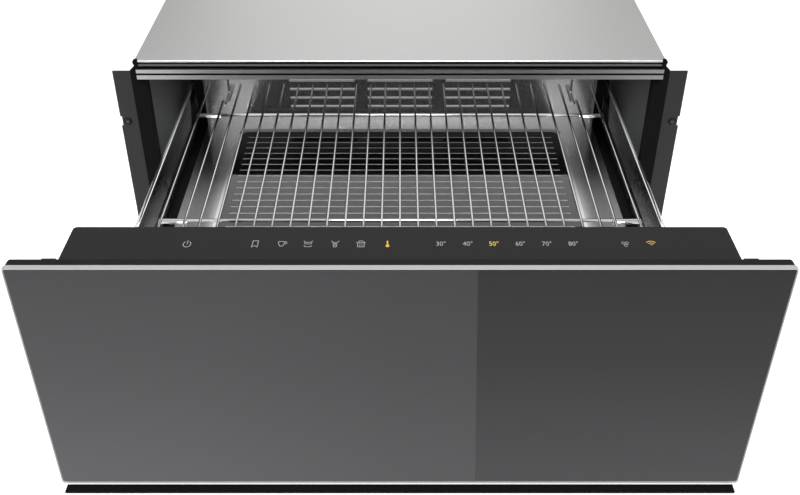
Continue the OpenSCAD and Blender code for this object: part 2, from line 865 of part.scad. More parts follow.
module plate_outline(grow = 0) {
  translate([0, plate_y0 + plate_l / 2]) round_rect(plate_w + 2 * grow, plate_l + 2 * grow, plate_r + max(grow, 0));
}

plate_z1 = floor_z - border_drop;

// Space above the sloped border, with round corners.
module border_cut() {
  slope = border_w / border_drop;
  over = 1;
  half_x = plate_w / 2 - plate_r;
  half_y = plate_l / 2 - plate_r;
  r0 = plate_r + 0.3;
  r1 = r0 + (border_drop + over) * slope;
  translate([0, plate_y0 + plate_l / 2, plate_z1]) {
    for (x = [-half_x, half_x], y = [-half_y, half_y])
      translate([x, y, 0]) cylinder(h = border_drop + over, r1 = r0, r2 = r1);
    along_y(-half_y, half_y) polygon([[-half_x - r0, 0], [half_x + r0, 0],
      [half_x + r1, border_drop + over], [-half_x - r1, border_drop + over]]);
    along_x(-half_x, half_x) polygon([[-half_y - r0, 0], [half_y + r0, 0],
      [half_y + r1, border_drop + over], [-half_y - r1, border_drop + over]]);
  }
}

pocket_z0 = plate_z1 - plate_t;
module floor_pan() {
  color("silver") {
    difference() {
      translate([-half_floor, floor_y0, floor_z - tray_t]) cube([floor_w, floor_l, tray_t]);
      translate([0, 0, floor_z - 2 * tray_t]) linear_extrude(3 * tray_t) plate_outline(border_w);
    }
    difference() {
      translate([0, 0, pocket_z0 - tray_t])
        linear_extrude(floor_z - pocket_z0 + tray_t) plate_outline(border_w + eps);
      translate([0, 0, pocket_z0]) linear_extrude(plate_t + 5) plate_outline(0.3);
      border_cut();
    }
    for (x = [-half_floor, half_floor - tray_t])
      box([x, floor_y0, edge_z0], [x + tray_t, floor_y1, floor_z]);
    for (y = [floor_y0, floor_y1 - tray_t])
      box([-half_floor, y, edge_z0], [half_floor, y + tray_t, floor_z]);
  }
}

module hot_plate() {
  color([0.06, 0.06, 0.07]) translate([0, 0, pocket_z0]) linear_extrude(plate_t) plate_outline();
}

heater_in = 6;
insulation_in = 2;
module plate_heater() {
  heater_z1 = pocket_z0 - tray_t;
  color("chocolate") translate([0, 0, heater_z1 - heater_t]) linear_extrude(heater_t) plate_outline(-heater_in);
}

module insulation_board() {
  board_z1 = pocket_z0 - tray_t - heater_t;
  color("wheat") translate([0, 0, board_z1 - insulation_t]) linear_extrude(insulation_t) plate_outline(-insulation_in);
}

foot_in = 10;
glass_y0 = housing_y1 + 1;
module right_side_glass() {
  r = 1;
  color("lightcyan", 0.4) along_y(glass_y0, floor_y1 - 2)
    translate([(glass_x0 + glass_x1) / 2, floor_z + (side_glass_h - foot_in) / 2])
    round_rect(side_glass_t, side_glass_h + foot_in, r);
}

module left_side_glass() {
  left() right_side_glass();
}

slot_clear = 0.15;
post_y1 = floor_y1 + 3;
module right_side_profile() {
  color("black") difference() {
    union() {
      box([half_floor, floor_y0, edge_z0], [profile_x1, post_y1, floor_z]);
      box([half_floor, floor_y1 - 8, edge_z0], [profile_x1, post_y1, rear_wall_z1]);
    }
    box([glass_x0 - slot_clear, floor_y0 - 1, floor_z - foot_in - slot_clear],
        [glass_x1 + slot_clear, floor_y1 - 2 + slot_clear, rear_wall_z1 + 1]);
    box([half_floor + 2, floor_y0 - 1, edge_z0 - 1], [glass_x0 - 2, floor_y1 - 10, floor_z - 4]);
    box([half_floor - 1, floor_y1, edge_z0 - 1], [half_floor + tray_t + 0.6, post_y1 + 1, rear_wall_z1 + 1]);
  }
}

module left_side_profile() {
  left() right_side_profile();
}

// Hood of one louvre, drawn in Y and Z: it curves out of the wall, its mouth down.
module louvre_hood() {
  bend = 2 * atan(louvre_out / louvre_h);
  r = louvre_h / sin(bend);
  intersection() {
    translate([0.08 - r, louvre_h]) difference() {
      circle(r + tray_t);
      circle(r);
    }
    translate([-louvre_out - 1, 0]) square([louvre_out + 1 + tray_t, louvre_h]);
  }
}

rear_half = half_floor + 0.6;
rear_fold_t = 9;
slot_gap = 1.2;
module rear_wall() {
  color("silver") {
    difference() {
      union() {
        box([-rear_half, floor_y1, edge_z0], [rear_half, floor_y1 + tray_t, rear_wall_z1]);
        box([-duct_half - duct_lip, floor_y1, chassis_z0], [duct_half + duct_lip, floor_y1 + tray_t, edge_z0 + eps]);
      }
      for (g = [-1, 0, 1], i = [0 : louvre_rows - 1])
        translate([g * louvre_group_pitch, floor_y1, floor_z + louvre_first + i * louvre_pitch])
          box([-louvre_w / 2 - slot_gap, -1, -0.5], [louvre_w / 2 + slot_gap, tray_t + 1, louvre_h - 1]);
      both_sides() duct_screw_places() screw_hole();
    }
    for (g = [-1, 0, 1], i = [0 : louvre_rows - 1])
      translate([0, floor_y1, floor_z + louvre_first + i * louvre_pitch])
        along_x(g * louvre_group_pitch - louvre_w / 2, g * louvre_group_pitch + louvre_w / 2) louvre_hood();
    box([-rear_half, floor_y1 + tray_t - eps, rear_wall_z1 - tray_t],
        [rear_half, floor_y1 + rear_fold_t, rear_wall_z1]);
  }
}

fan_z = (duct_z0 + duct_z1) / 2;
element_y = duct_y0 + duct_d / 2 - 4;
tail_x = 12;
tail_out = 8;
module duct_cover() {
  color("lightgray") difference() {
    union() {
      box([-duct_half, duct_y0, duct_z0], [duct_half, duct_y1, duct_z1]);
      box([-duct_half - duct_lip, duct_y0, duct_z0], [duct_half + duct_lip, duct_y0 + duct_t, duct_z1]);
    }
    box([-duct_half + duct_t, duct_y0 - 1, duct_z0 + duct_t],
        [duct_half - duct_t, duct_y1 - duct_t, duct_z1 - duct_t]);
    for (x = [-tail_x, tail_x]) translate([x, element_y, duct_z0 - 1])
      cylinder(h = duct_t + 2, d = element_d + 0.6);
    both_sides() duct_screw_places() screw_hole();
  }
}

wheel_in = 2.5;
wheel_y0 = duct_y0 + wheel_in;
wheel_y1 = wheel_y0 + fan_w;
motor_d = 34;
motor_gap = 1;
module fan_motor() {
  motor_y0 = wheel_y1 + motor_gap;
  color("dimgray") translate([0, motor_y0, fan_z]) rotate([-90, 0, 0])
    cylinder(h = duct_y1 - duct_t - motor_y0, d = motor_d);
  color("silver") translate([0, wheel_y0 + 1, fan_z]) rotate([-90, 0, 0])
    cylinder(h = motor_y0 - wheel_y0 - 1 + eps, d = shaft_d);
}

hub_d = 12;
disc_t = 1.2;
blade_t = 0.9;
blade_l = 12;
module fan_wheel() {
  color("silver") translate([0, wheel_y0, fan_z]) rotate([-90, 0, 0]) difference() {
    union() {
      cylinder(h = fan_w, d = hub_d);
      translate([0, 0, fan_w - disc_t]) cylinder(h = disc_t, d = fan_d);
      difference() {
        cylinder(h = disc_t, d = fan_d);
        translate([0, 0, -1]) cylinder(h = disc_t + 2, d = fan_d - 2 * blade_l + 4);
      }
      for (i = [0 : fan_blades - 1]) rotate([0, 0, i * 360 / fan_blades])
        translate([fan_d / 2 - 1, 0, 0]) rotate([0, 0, 38])
        translate([-blade_l, -blade_t / 2, disc_t / 2]) cube([blade_l, blade_t, fan_w - disc_t]);
    }
    translate([0, 0, -1]) cylinder(h = fan_w + 2, r = shaft_d / 2 + shaft_clear);
  }
}

element_gap = 3;
module air_heater() {
  ring_r = fan_d / 2 + element_d / 2 + element_gap;
  opening = 2 * asin(tail_x / ring_r);
  tail_top = -ring_r * cos(opening / 2);
  color("dimgray") translate([0, element_y, fan_z]) {
    rotate([90, 0, 0]) rotate([0, 0, -90 + opening / 2])
      rotate_extrude(angle = 360 - opening) translate([ring_r, 0]) circle(d = element_d, $fn = 24);
    for (x = [-tail_x, tail_x]) translate([x, 0, duct_z0 - fan_z - tail_out])
      cylinder(h = tail_top - duct_z0 + fan_z + tail_out + element_d / 2, d = element_d, $fn = 24);
  }
}

stud_d = 5;
stud_l = 22;
stud_gap = 0.4;
stud_z = step_z - wire_d / 2 - stud_gap - stud_d / 2;
module rack_studs() {
  color("silver") both_sides() {
    translate([step_wire_x, floor_y1, stud_z]) rotate([90, 0, 0]) cylinder(h = stud_l, d = stud_d);
    translate([step_wire_x, floor_y0, stud_z]) rotate([-90, 0, 0]) cylinder(h = stud_l, d = stud_d);
  }
}

probe_in = 30;
probe_l = 14;
probe_d = 4;
probe_nut_h = 3;
module temperature_probe() {
  color("silver") translate([duct_half - probe_in, duct_y0, floor_z - probe_in]) rotate([-90, 0, 0]) {
    cylinder(h = probe_nut_h, d = 2 * probe_d, $fn = 6);
    cylinder(h = probe_l, d = probe_d);
  }
}

module drawer_screws() {
  color("silver") both_sides() {
    duct_screw_places() screw();
    rail_screw_places() screw(chassis_t + slide_t);
    front_screw_places() screw();
  }
}

// ---- rack ----

guard_gap = 5;
guard_y = floor_y1 - guard_gap;
wire_front = 8;
wire_y0 = floor_y0 + wire_front;
step_front = 26;
step_back = 46;
step_run = 13;
step_y0 = wire_y0 + step_front;
step_y1 = floor_y1 - step_back;
module rack_wires() {
  straight = [for (i = [-wires_per_side : wires_per_side]) i * wire_pitch];
  plain = [[wire_y0, wire_z], [guard_y + wire_d / 2, wire_z]];
  stepped = [[wire_y0, step_z], [step_y0, step_z], [step_y0 + step_run, wire_z],
             [step_y1, wire_z], [step_y1 + step_run, step_z], [guard_y, step_z],
             [guard_y, wire_z + guard_h]];
  color("gainsboro") {
    for (x = concat(straight, [-outer_wire_x, outer_wire_x]))
      translate([x, 0, 0]) rotate([90, 0, 90]) planar_rod(plain, bend_r, wire_d);
    for (x = [-step_wire_x, step_wire_x])
      translate([x, 0, 0]) rotate([90, 0, 90]) planar_rod(stepped, bend_r, wire_d);
  }
}

bar_over = 2.6;
bar_half = outer_wire_x + bar_over;
bar_lap = 2;
module rack_bars() {
  rear_bar_y = floor_y1 - bar_rear;
  front_end_y = step_y0 + step_run + 8;
  color("gainsboro") {
    for (y = [rear_bar_y, rear_bar_y - bar_pitch, front_end_y])
      translate([-bar_half, y, bar_z]) rotate([0, 90, 0]) cylinder(h = 2 * bar_half, d = bar_d);
    for (y = [rear_bar_y, rear_bar_y - bar_pitch]) both_sides()
      translate([step_wire_x - bar_lap, y - bar_d, bar_z]) rotate([0, 90, 0])
        cylinder(h = bar_half - step_wire_x + bar_lap, d = bar_d);
    translate([-bar_half, guard_y - (wire_d + bar_d) / 2 + weld_in, wire_z + guard_h - bar_d / 2])
      rotate([0, 90, 0]) cylinder(h = 2 * bar_half, d = bar_d);
  }
}

// ---- drawing ----

module placed() {
  translate([0, -origin_y, 0]) children();
}

placed() top_panel();
placed() left_side_panel();
placed() right_side_panel();
placed() base_panel();
placed() rear_panel();
placed() front_rail();
placed() rail_seal();
placed() rail_bead();
placed() rail_end_caps();
placed() left_flange();
placed() right_flange();
placed() left_gasket_strip();
placed() right_gasket_strip();
placed() lower_front_rail();
placed() left_slide_bracket();
placed() right_slide_bracket();
placed() left_cabinet_rail();
placed() right_cabinet_rail();
placed() terminal_box();
placed() cable_gland();
placed() latch_body();
placed() carcass_screws();
placed() left_middle_rail();
placed() right_middle_rail();
placed() front_glass();
placed() front_frame();
placed() base_lip();
placed() control_panel();
placed() control_housing();
placed() control_board();
placed() left_front_bracket();
placed() right_front_bracket();
placed() inner_front_panel();
placed() chassis_pan();
placed() floor_pan();
placed() hot_plate();
placed() plate_heater();
placed() insulation_board();
placed() left_side_glass();
placed() right_side_glass();
placed() left_side_profile();
placed() right_side_profile();
placed() rear_wall();
placed() duct_cover();
placed() fan_motor();
placed() air_heater();
placed() left_drawer_rail();
placed() right_drawer_rail();
placed() rack_studs();
placed() temperature_probe();
placed() drawer_screws();
placed() rack_wires();
placed() rack_bars();
placed() fan_wheel();
placed() latch_plunger();
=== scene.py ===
"""A built-in warming drawer, pulled open, in its finishes and studio.

Lengths are in metres unless a name ends in _mm or _MM, or a value is multiplied
by MM. Pictograms are drawn in millimetres. X runs to the right across the front, Y from
the front to the back, Z up from the base panel.
"""

import json
import math

import bmesh
import bpy
from mathutils import Matrix, Vector

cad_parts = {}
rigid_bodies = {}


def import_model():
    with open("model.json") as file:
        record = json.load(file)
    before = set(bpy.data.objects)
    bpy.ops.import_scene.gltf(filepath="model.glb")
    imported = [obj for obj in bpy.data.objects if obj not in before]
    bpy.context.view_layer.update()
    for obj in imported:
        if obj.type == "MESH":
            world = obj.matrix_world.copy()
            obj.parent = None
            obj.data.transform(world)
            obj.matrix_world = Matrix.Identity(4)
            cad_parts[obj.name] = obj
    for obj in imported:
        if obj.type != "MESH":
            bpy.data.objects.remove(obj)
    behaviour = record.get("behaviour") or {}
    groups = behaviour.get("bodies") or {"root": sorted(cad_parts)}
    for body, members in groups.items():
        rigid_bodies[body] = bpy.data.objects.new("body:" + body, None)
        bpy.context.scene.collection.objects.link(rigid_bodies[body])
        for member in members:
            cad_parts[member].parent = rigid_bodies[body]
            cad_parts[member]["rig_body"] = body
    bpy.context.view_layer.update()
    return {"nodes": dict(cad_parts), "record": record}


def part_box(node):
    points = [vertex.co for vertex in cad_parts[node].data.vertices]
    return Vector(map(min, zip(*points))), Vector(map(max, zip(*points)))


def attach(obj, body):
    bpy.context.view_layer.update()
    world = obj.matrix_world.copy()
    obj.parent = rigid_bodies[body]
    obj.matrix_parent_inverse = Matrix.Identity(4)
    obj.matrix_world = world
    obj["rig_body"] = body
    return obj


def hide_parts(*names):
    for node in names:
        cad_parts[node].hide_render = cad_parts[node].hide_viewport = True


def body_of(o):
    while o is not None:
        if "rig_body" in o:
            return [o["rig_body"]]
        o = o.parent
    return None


MM = 0.001

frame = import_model()

# ---------------------------------------------------------------------------
# Camera
# ---------------------------------------------------------------------------

GLASS_LOW, GLASS_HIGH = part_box("front_glass")
CAMERA_AHEAD = 0.5833  # in front of the glass face
CAMERA_ABOVE = 0.4308  # above the glass's top edge
CAMERA_PITCH = 35.18  # degrees below the horizon
CAMERA_LENS_MM = 44.33

camera_data = bpy.data.cameras.new("studio_camera")
camera_data.lens = CAMERA_LENS_MM
camera_data.sensor_width = 36.0
camera_data.clip_end = 50.0
camera = bpy.data.objects.new("studio_camera", camera_data)
bpy.context.scene.collection.objects.link(camera)
camera.location = (0.0, GLASS_LOW.y - CAMERA_AHEAD, GLASS_HIGH.z + CAMERA_ABOVE)
camera.rotation_euler = (math.radians(90.0 - CAMERA_PITCH), 0.0, 0.0)
bpy.context.scene.camera = camera


# ---------------------------------------------------------------------------
# Helpers
# ---------------------------------------------------------------------------


def linear(hex_colour):
    """An sRGB hex colour as linear RGBA."""
    values = [int(hex_colour[i : i + 2], 16) / 255.0 for i in (1, 3, 5)]
    return tuple(
        v / 12.92 if v <= 0.04045 else ((v + 0.055) / 1.055) ** 2.4 for v in values
    ) + (1.0,)


def add(tree, kind, links=None, **settings):
    """A node with its settings, and its inputs linked or set by name or number."""
    node = tree.nodes.new(kind)
    for name, value in settings.items():
        setattr(node, name, value)
    for key, value in (links or {}).items():
        socket = node.inputs[key]
        if isinstance(value, bpy.types.NodeSocket):
            tree.links.new(value, socket)
        else:
            socket.default_value = value
    return node


def new_material(name, **sockets):
    """A material with its Principled shader, whose sockets are set by name."""
    material = bpy.data.materials.new(name)
    material.use_nodes = True
    shader = material.node_tree.nodes["Principled BSDF"]
    for key, value in sockets.items():
        shader.inputs[key.replace("_", " ")].default_value = value
    return material, material.node_tree, shader


def new_object(name, mesh, material, body):
    """A finished piece that rides on a body."""
    piece = bpy.data.objects.new(name, mesh)
    bpy.context.scene.collection.objects.link(piece)
    for m in material if isinstance(material, (list, tuple)) else [material]:
        mesh.materials.append(m)
    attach(piece, body)
    return piece


def mesh_from(bm, name, sharp_degrees=32.0):
    """A bmesh as a mesh with smooth faces and sharp edges."""
    mesh = bpy.data.meshes.new(name)
    bm.to_mesh(mesh)
    bm.free()
    for polygon in mesh.polygons:
        polygon.use_smooth = True
    mesh.set_sharp_from_angle(angle=math.radians(sharp_degrees))
    return mesh


def evaluated_mesh(piece, name):
    """The mesh that a piece's modifiers give, as a plain mesh."""
    bpy.context.view_layer.update()
    graph = bpy.context.evaluated_depsgraph_get()
    mesh = bpy.data.meshes.new_from_object(piece.evaluated_get(graph))
    mesh.name = name
    data = piece.data
    bpy.data.objects.remove(piece)
    if isinstance(data, bpy.types.Curve):
        bpy.data.curves.remove(data)
    else:
        bpy.data.meshes.remove(data)
    return mesh


# Faces of a CAD mesh that lie this flat to each other are one face, and edges
# sharper than ROUNDED_FROM are rounded.
FLAT_WITHIN = math.radians(1.0)
ROUNDED_FROM = math.radians(40.0)
WELD = 0.01 * MM


def softened(node, material, width_mm, name):
    """Stands in for a CAD node with its edges rounded."""
    source = frame["nodes"][node]
    bm = bmesh.new()
    bm.from_mesh(source.data)
    bmesh.ops.remove_doubles(bm, verts=bm.verts, dist=WELD)
    bmesh.ops.dissolve_limit(
        bm, angle_limit=FLAT_WITHIN, verts=bm.verts, edges=bm.edges
    )
    mesh = bpy.data.meshes.new(node)
    bm.to_mesh(mesh)
    bm.free()
    piece = bpy.data.objects.new(node, mesh)
    bpy.context.scene.collection.objects.link(piece)
    bevel = piece.modifiers.new("edge", "BEVEL")
    bevel.width = width_mm * MM
    bevel.segments = 2
    bevel.limit_method = "ANGLE"
    bevel.angle_limit = ROUNDED_FROM
    bevel.harden_normals = True
    result = evaluated_mesh(piece, node)
    result.materials.clear()
    body = body_of(source)[0]
    rounded = new_object(name, result, material, body)
    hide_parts(node)
    return rounded


# ---------------------------------------------------------------------------
# Finishes
# ---------------------------------------------------------------------------


BRUSH_LENGTH = 60.0 * MM
BRUSH_GAP = 0.9 * MM  # real lines are about 0.1 mm apart and too fine to show
LINE_GLOSS = 0.05  # how far the lines change the roughness, up and down
PATCH_SCALE = 6.0  # handling patches about 170 mm wide
PATCH_GLOSS = 0.06  # how much rougher they are


def brushed_metal(name, colour, roughness, contrast=0.10, bump=0.05):
    """Sheet metal with fine straight brush lines along X."""
    material, tree, shader = new_material(name, Metallic=1.0)
    place = add(tree, "ShaderNodeTexCoord")
    stretch = add(
        tree,
        "ShaderNodeMapping",
        {
            "Vector": place.outputs["Object"],
            "Scale": (1.0 / BRUSH_LENGTH, 1.0 / BRUSH_GAP, 1.0 / BRUSH_GAP),
        },
    )
    lines = add(
        tree,
        "ShaderNodeTexNoise",
        {"Vector": stretch.outputs[0], "Scale": 1.0, "Detail": 3.0},
    )
    patches = add(
        tree,
        "ShaderNodeTexNoise",
        {"Vector": place.outputs["Object"], "Scale": PATCH_SCALE, "Detail": 1.0},
    )
    low = tuple(c * (1.0 - contrast) for c in linear(colour)[:3]) + (1.0,)
    tint = add(
        tree,
        "ShaderNodeMix",
        {0: lines.outputs["Fac"], 6: low, 7: linear(colour)},
        data_type="RGBA",
    )
    tree.links.new(tint.outputs[2], shader.inputs["Base Color"])
    spread = add(
        tree,
        "ShaderNodeMapRange",
        {
            0: lines.outputs["Fac"],
            3: roughness - LINE_GLOSS,
            4: roughness + LINE_GLOSS,
        },
    )
    blotch = add(
        tree,
        "ShaderNodeMath",
        {0: patches.outputs["Fac"], 1: PATCH_GLOSS, 2: spread.outputs[0]},
        operation="MULTIPLY_ADD",
    )
    tree.links.new(blotch.outputs[0], shader.inputs["Roughness"])
    relief = add(
        tree,
        "ShaderNodeBump",
        {"Strength": bump, "Distance": 0.1 * MM, "Height": lines.outputs["Fac"]},
    )
    tree.links.new(relief.outputs[0], shader.inputs["Normal"])
    return material


GRAIN_GLOSS = 0.04  # how far the grain changes the roughness, up and down
CLOUD_SCALE = 9.0  # clouds about 110 mm wide


def grained(name, colour, roughness, grain_mm, bump, spread, **sockets):
    """A moulded, painted or coated surface with a fine even grain. Its colour
    varies by spread in soft clouds."""
    material, tree, shader = new_material(name, **sockets)
    place = add(tree, "ShaderNodeTexCoord")
    grain = add(
        tree,
        "ShaderNodeTexNoise",
        {
            "Vector": place.outputs["Object"],
            "Scale": 1.0 / (grain_mm * MM),
            "Detail": 2.0,
        },
    )
    cloud = add(
        tree,
        "ShaderNodeTexNoise",
        {"Vector": place.outputs["Object"], "Scale": CLOUD_SCALE, "Detail": 2.0},
    )
    low = tuple(c * (1.0 - spread) for c in linear(colour)[:3]) + (1.0,)
    high = tuple(min(1.0, c * (1.0 + spread)) for c in linear(colour)[:3]) + (1.0,)
    tint = add(
        tree,
        "ShaderNodeMix",
        {0: cloud.outputs["Fac"], 6: low, 7: high},
        data_type="RGBA",
    )
    tree.links.new(tint.outputs[2], shader.inputs["Base Color"])
    rough = add(
        tree,
        "ShaderNodeMapRange",
        {
            0: grain.outputs["Fac"],
            3: roughness - GRAIN_GLOSS,
            4: roughness + GRAIN_GLOSS,
        },
    )
    tree.links.new(rough.outputs[0], shader.inputs["Roughness"])
    relief = add(
        tree,
        "ShaderNodeBump",
        {"Strength": bump, "Distance": 0.05 * MM, "Height": grain.outputs["Fac"]},
    )
    tree.links.new(relief.outputs[0], shader.inputs["Normal"])
    return material


HAZE_SCALE = 12.0  # patches of polish about 80 mm wide
HAZE_FACTOR, HAZE_STEP = 1.4, 0.005  # how much rougher their dull parts are


def polished(name, colour, roughness, **sockets):
    """A smooth surface with a faint change of gloss, as polishing leaves."""
    material, tree, shader = new_material(name, Base_Color=linear(colour), **sockets)
    place = add(tree, "ShaderNodeTexCoord")
    cloud = add(
        tree,
        "ShaderNodeTexNoise",
        {"Vector": place.outputs["Object"], "Scale": HAZE_SCALE, "Detail": 2.0},
    )
    rough = add(
        tree,
        "ShaderNodeMapRange",
        {
            0: cloud.outputs["Fac"],
            3: roughness,
            4: roughness * HAZE_FACTOR + HAZE_STEP,
        },
    )
    tree.links.new(rough.outputs[0], shader.inputs["Roughness"])
    return material


# Stainless steel 1.4016, brushed across the width: grey, with long soft glints.
# The tray and its rear wall are bright-rolled and mirror what is above them.
steel_top = brushed_metal("brushed_stainless_top", "#c9c9c8", 0.28)
steel_floor = brushed_metal(
    "brushed_stainless_tray", "#cacaca", 0.13, contrast=0.05, bump=0.01
)
steel_wall = brushed_metal(
    "brushed_stainless_rear_wall", "#b8b8b8", 0.14, contrast=0.05, bump=0.01
)
steel_rail = brushed_metal("brushed_stainless_rail", "#cccccc", 0.30)
# Zinc-coated sheet: dull grey with a cloudy sheen. The slides are brighter.
zinc_sheet = grained(
    "zinc_coated_sheet", "#777777", 0.42, 1.2, 0.1, 0.12, Metallic=1.0
)
zinc_slide = grained(
    "zinc_coated_slide", "#a0a1a1", 0.33, 1.0, 0.05, 0.08, Metallic=1.0
)
# Dark stoved coat on the flanges and brackets: satin with a little orange peel.
dark_coat = grained(
    "dark_stoved_coat", "#2d2d2e", 0.45, 0.8, 0.2, 0.04, Specular_IOR_Level=0.25
)
# Matte anthracite powder coat of the control panel: no clear reflections.
panel_coat = grained(
    "anthracite_powder_coat", "#141414", 0.62, 0.35, 0.25, 0.03, Specular_IOR_Level=0.25
)
# Moulded black PA with a fine spark-eroded grain.
black_plastic = grained(
    "moulded_black_nylon", "#0a0a0a", 0.5, 0.4, 0.3, 0.08, Specular_IOR_Level=0.15
)
# Extruded side profiles: deep black with a soft sheen.
profile_black = grained(
    "deep_black_profile", "#020202", 0.34, 0.4, 0.1, 0.08, Specular_IOR_Level=0.14
)
# Moulded black PA of the ledge under the front: deeper, almost without sheen.
ledge_plastic = grained(
    "deep_black_nylon", "#0a0a0a", 0.6, 0.4, 0.3, 0.08, Specular_IOR_Level=0.06
)
# EPDM seal: dull black. In its hollow it is painted deeper black, as painted shade, and
# its lip is painted grey, as a painted highlight on its rounded edge.
seal_rubber = grained(
    "epdm_seal", "#0c0c0c", 0.7, 0.3, 0.3, 0.1, Specular_IOR_Level=0.08
)
seal_hollow_painted_shade = grained(
    "deep_black_epdm", "#030303", 0.8, 0.3, 0.3, 0.1, Specular_IOR_Level=0.02
)
lip_painted_highlight = grained(
    "grey_epdm_lip", "#545454", 0.6, 0.3, 0.2, 0.06, Specular_IOR_Level=0.2
)
# Blackened screw, lighter in its middle.
screw_black = grained(
    "blackened_screw", "#141414", 0.45, 0.4, 0.1, 0.1, Specular_IOR_Level=0.2
)
screw_light_middle = grained("worn_screw_middle", "#3e3e3e", 0.45, 0.4, 0.2, 0.15)
# Toughened glass with a dark coat on its back: deep and glossy.
front_coat = polished("back_coated_front_glass", "#343435", 0.02, IOR=1.7)
# Ground and polished glass edge: pale with a hint of green, and given a painted glow by
# its emission.
painted_glow_edge = polished(
    "polished_glass_edge",
    "#e2e5e3",
    0.12,
    IOR=1.52,
    Emission_Color=(1.0, 1.0, 1.0, 1.0),
    Emission_Strength=0.38,
)
# Ground glass, grey and satin: top edge, facet along the foot, other facets. The top
# edge and the foot facet are lighter copies of the facets' grey: painted light.
painted_light_top_edge = polished("glass_top_edge", "#adafae", 0.2, IOR=1.52)
painted_light_foot_facet = polished("glass_foot_facet", "#b6b7b6", 0.2, IOR=1.52)
glass_facet = polished("ground_glass_facet", "#8f9090", 0.2, IOR=1.52)
# Polished edge of the clear panes: a mirror for what is above it.
pane_edge = polished("mirror_polished_pane_edge", "#f2f4f3", 0.06, Metallic=0.95)
# Ceramic glass of the hot plate: black and mirror-smooth.
plate_glass = polished("black_ceramic_glass", "#020202", 0.02, IOR=1.18)
# Enamel print on the hot plate: thin, grey, a little rough.
plate_print = grained("grey_enamel_print", "#a4a4a4", 0.35, 0.3, 0.1, 0.05)
# Chrome-plated wire: bright along its middle, with painted shade towards its flanks,
# which darkens its colour as they turn away from the view.
CHROME_MIDDLE, CHROME_PAINTED_SHADE = "#c8c8c7", "#202020"
FLANK_START, FLANK_END = 0.6, 0.76  # where the painted flank shade starts and ends, from 0 face on to 1
chrome = polished("chrome_plated_wire", CHROME_MIDDLE, 0.05, Metallic=1.0)
chrome_tree = chrome.node_tree
facing = add(chrome_tree, "ShaderNodeLayerWeight", {"Blend": 0.5})
flank = add(
    chrome_tree,
    "ShaderNodeMapRange",
    {0: facing.outputs["Facing"], 1: FLANK_START, 2: FLANK_END},
)
chrome_flank_shade_tint = add(
    chrome_tree,
    "ShaderNodeMix",
    {0: flank.outputs[0], 6: linear(CHROME_MIDDLE), 7: linear(CHROME_PAINTED_SHADE)},
    data_type="RGBA",
)
chrome_tree.links.new(
    chrome_flank_shade_tint.outputs[2], chrome_tree.nodes["Principled BSDF"].inputs["Base Color"]
)
# Zinc-plated steel of screws, studs and probe: bright silver.
screw_steel = grained(
    "zinc_plated_screw", "#b8b8b6", 0.3, 0.6, 0.05, 0.1, Metallic=1.0
)
# Solder mask of the circuit board: dark green and glossy.
board_mask = grained("green_solder_mask", "#1d4a2c", 0.35, 0.6, 0.1, 0.1)
# Moulded silicone of the heating mat: matte red-brown.
silicone_mat = grained("silicone_heating_mat", "#8a4a2c", 0.6, 0.8, 0.3, 0.08)
# Pressed mineral fibre: coarse, matte, straw-coloured.
mineral_wool = grained("mineral_fibre_board", "#cfc29a", 0.9, 1.2, 0.8, 0.15)
# Enamelled motor housing: black with a dull gloss.
motor_paint = grained("black_motor_paint", "#2c2c2d", 0.4, 0.6, 0.1, 0.05)
# Steel heater tube, browned by heat.
heater_tube = grained(
    "heat_darkened_tube", "#4a4540", 0.4, 0.8, 0.1, 0.15, Metallic=1.0
)
# Turned acetal of the latch plunger: milky white.
pale_acetal = grained("natural_acetal", "#d9d8d2", 0.35, 0.5, 0.05, 0.03)
# Print on the control panel, matte grey, and the same lit amber from behind.
print_grey = grained("grey_screen_print", "#9c9c9c", 0.6, 0.3, 0.05, 0.03)
print_amber, _, _ = new_material(
    "amber_lit_print",
    Base_Color=linear("#c8a23c"),
    Emission_Color=linear("#d9ae3a"),
    Emission_Strength=0.35,
    Roughness=0.6,
)

# Clear float glass of the side walls: light passes, with a faint green. Its IOR
# is below that of glass, so that it mirrors as little as the real panes do.
clear_glass, glass_tree, glass_shader = new_material(
    "clear_float_glass",
    Base_Color=linear("#f4faf7"),
    Roughness=0.0,
    IOR=1.12,
    Transmission_Weight=1.0,
)
light_path = add(glass_tree, "ShaderNodeLightPath")
see_through = add(
    glass_tree, "ShaderNodeBsdfTransparent", {"Color": linear("#e6efeb")}
)
glass_mix = add(
    glass_tree,
    "ShaderNodeMixShader",
    {
        0: light_path.outputs["Is Shadow Ray"],
        1: glass_shader.outputs[0],
        2: see_through.outputs[0],
    },
)
glass_tree.links.new(
    glass_mix.outputs[0], glass_tree.nodes["Material Output"].inputs["Surface"]
)


def shaded_band(material, axis, centre, half, colour):
    """Darkens a band of a finish, as the shadow in a narrow groove does."""
    tree = material.node_tree
    place = add(tree, "ShaderNodeTexCoord")
    axes = add(tree, "ShaderNodeSeparateXYZ", {0: place.outputs["Object"]})
    inside = add(
        tree,
        "ShaderNodeMath",
        {0: axes.outputs[axis], 1: centre, 2: half},
        operation="COMPARE",
    )
    shade = add(
        tree,
        "ShaderNodeBsdfPrincipled",
        {"Base Color": linear(colour), "Roughness": 0.8, "Specular IOR Level": 0.05},
    )
    blend = add(
        tree,
        "ShaderNodeMixShader",
        {
            0: inside.outputs[0],
            1: tree.nodes["Principled BSDF"].outputs[0],
            2: shade.outputs[0],
        },
    )
    tree.links.new(blend.outputs[0], tree.nodes["Material Output"].inputs["Surface"])


# Painted shade: a dark band along the rail's groove.
GROOVE_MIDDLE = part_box("front_rail")[0].z + 5.55 * MM
GROOVE_HALF = 1.05 * MM
shaded_band(steel_rail, "Z", GROOVE_MIDDLE, GROOVE_HALF, "#101010")

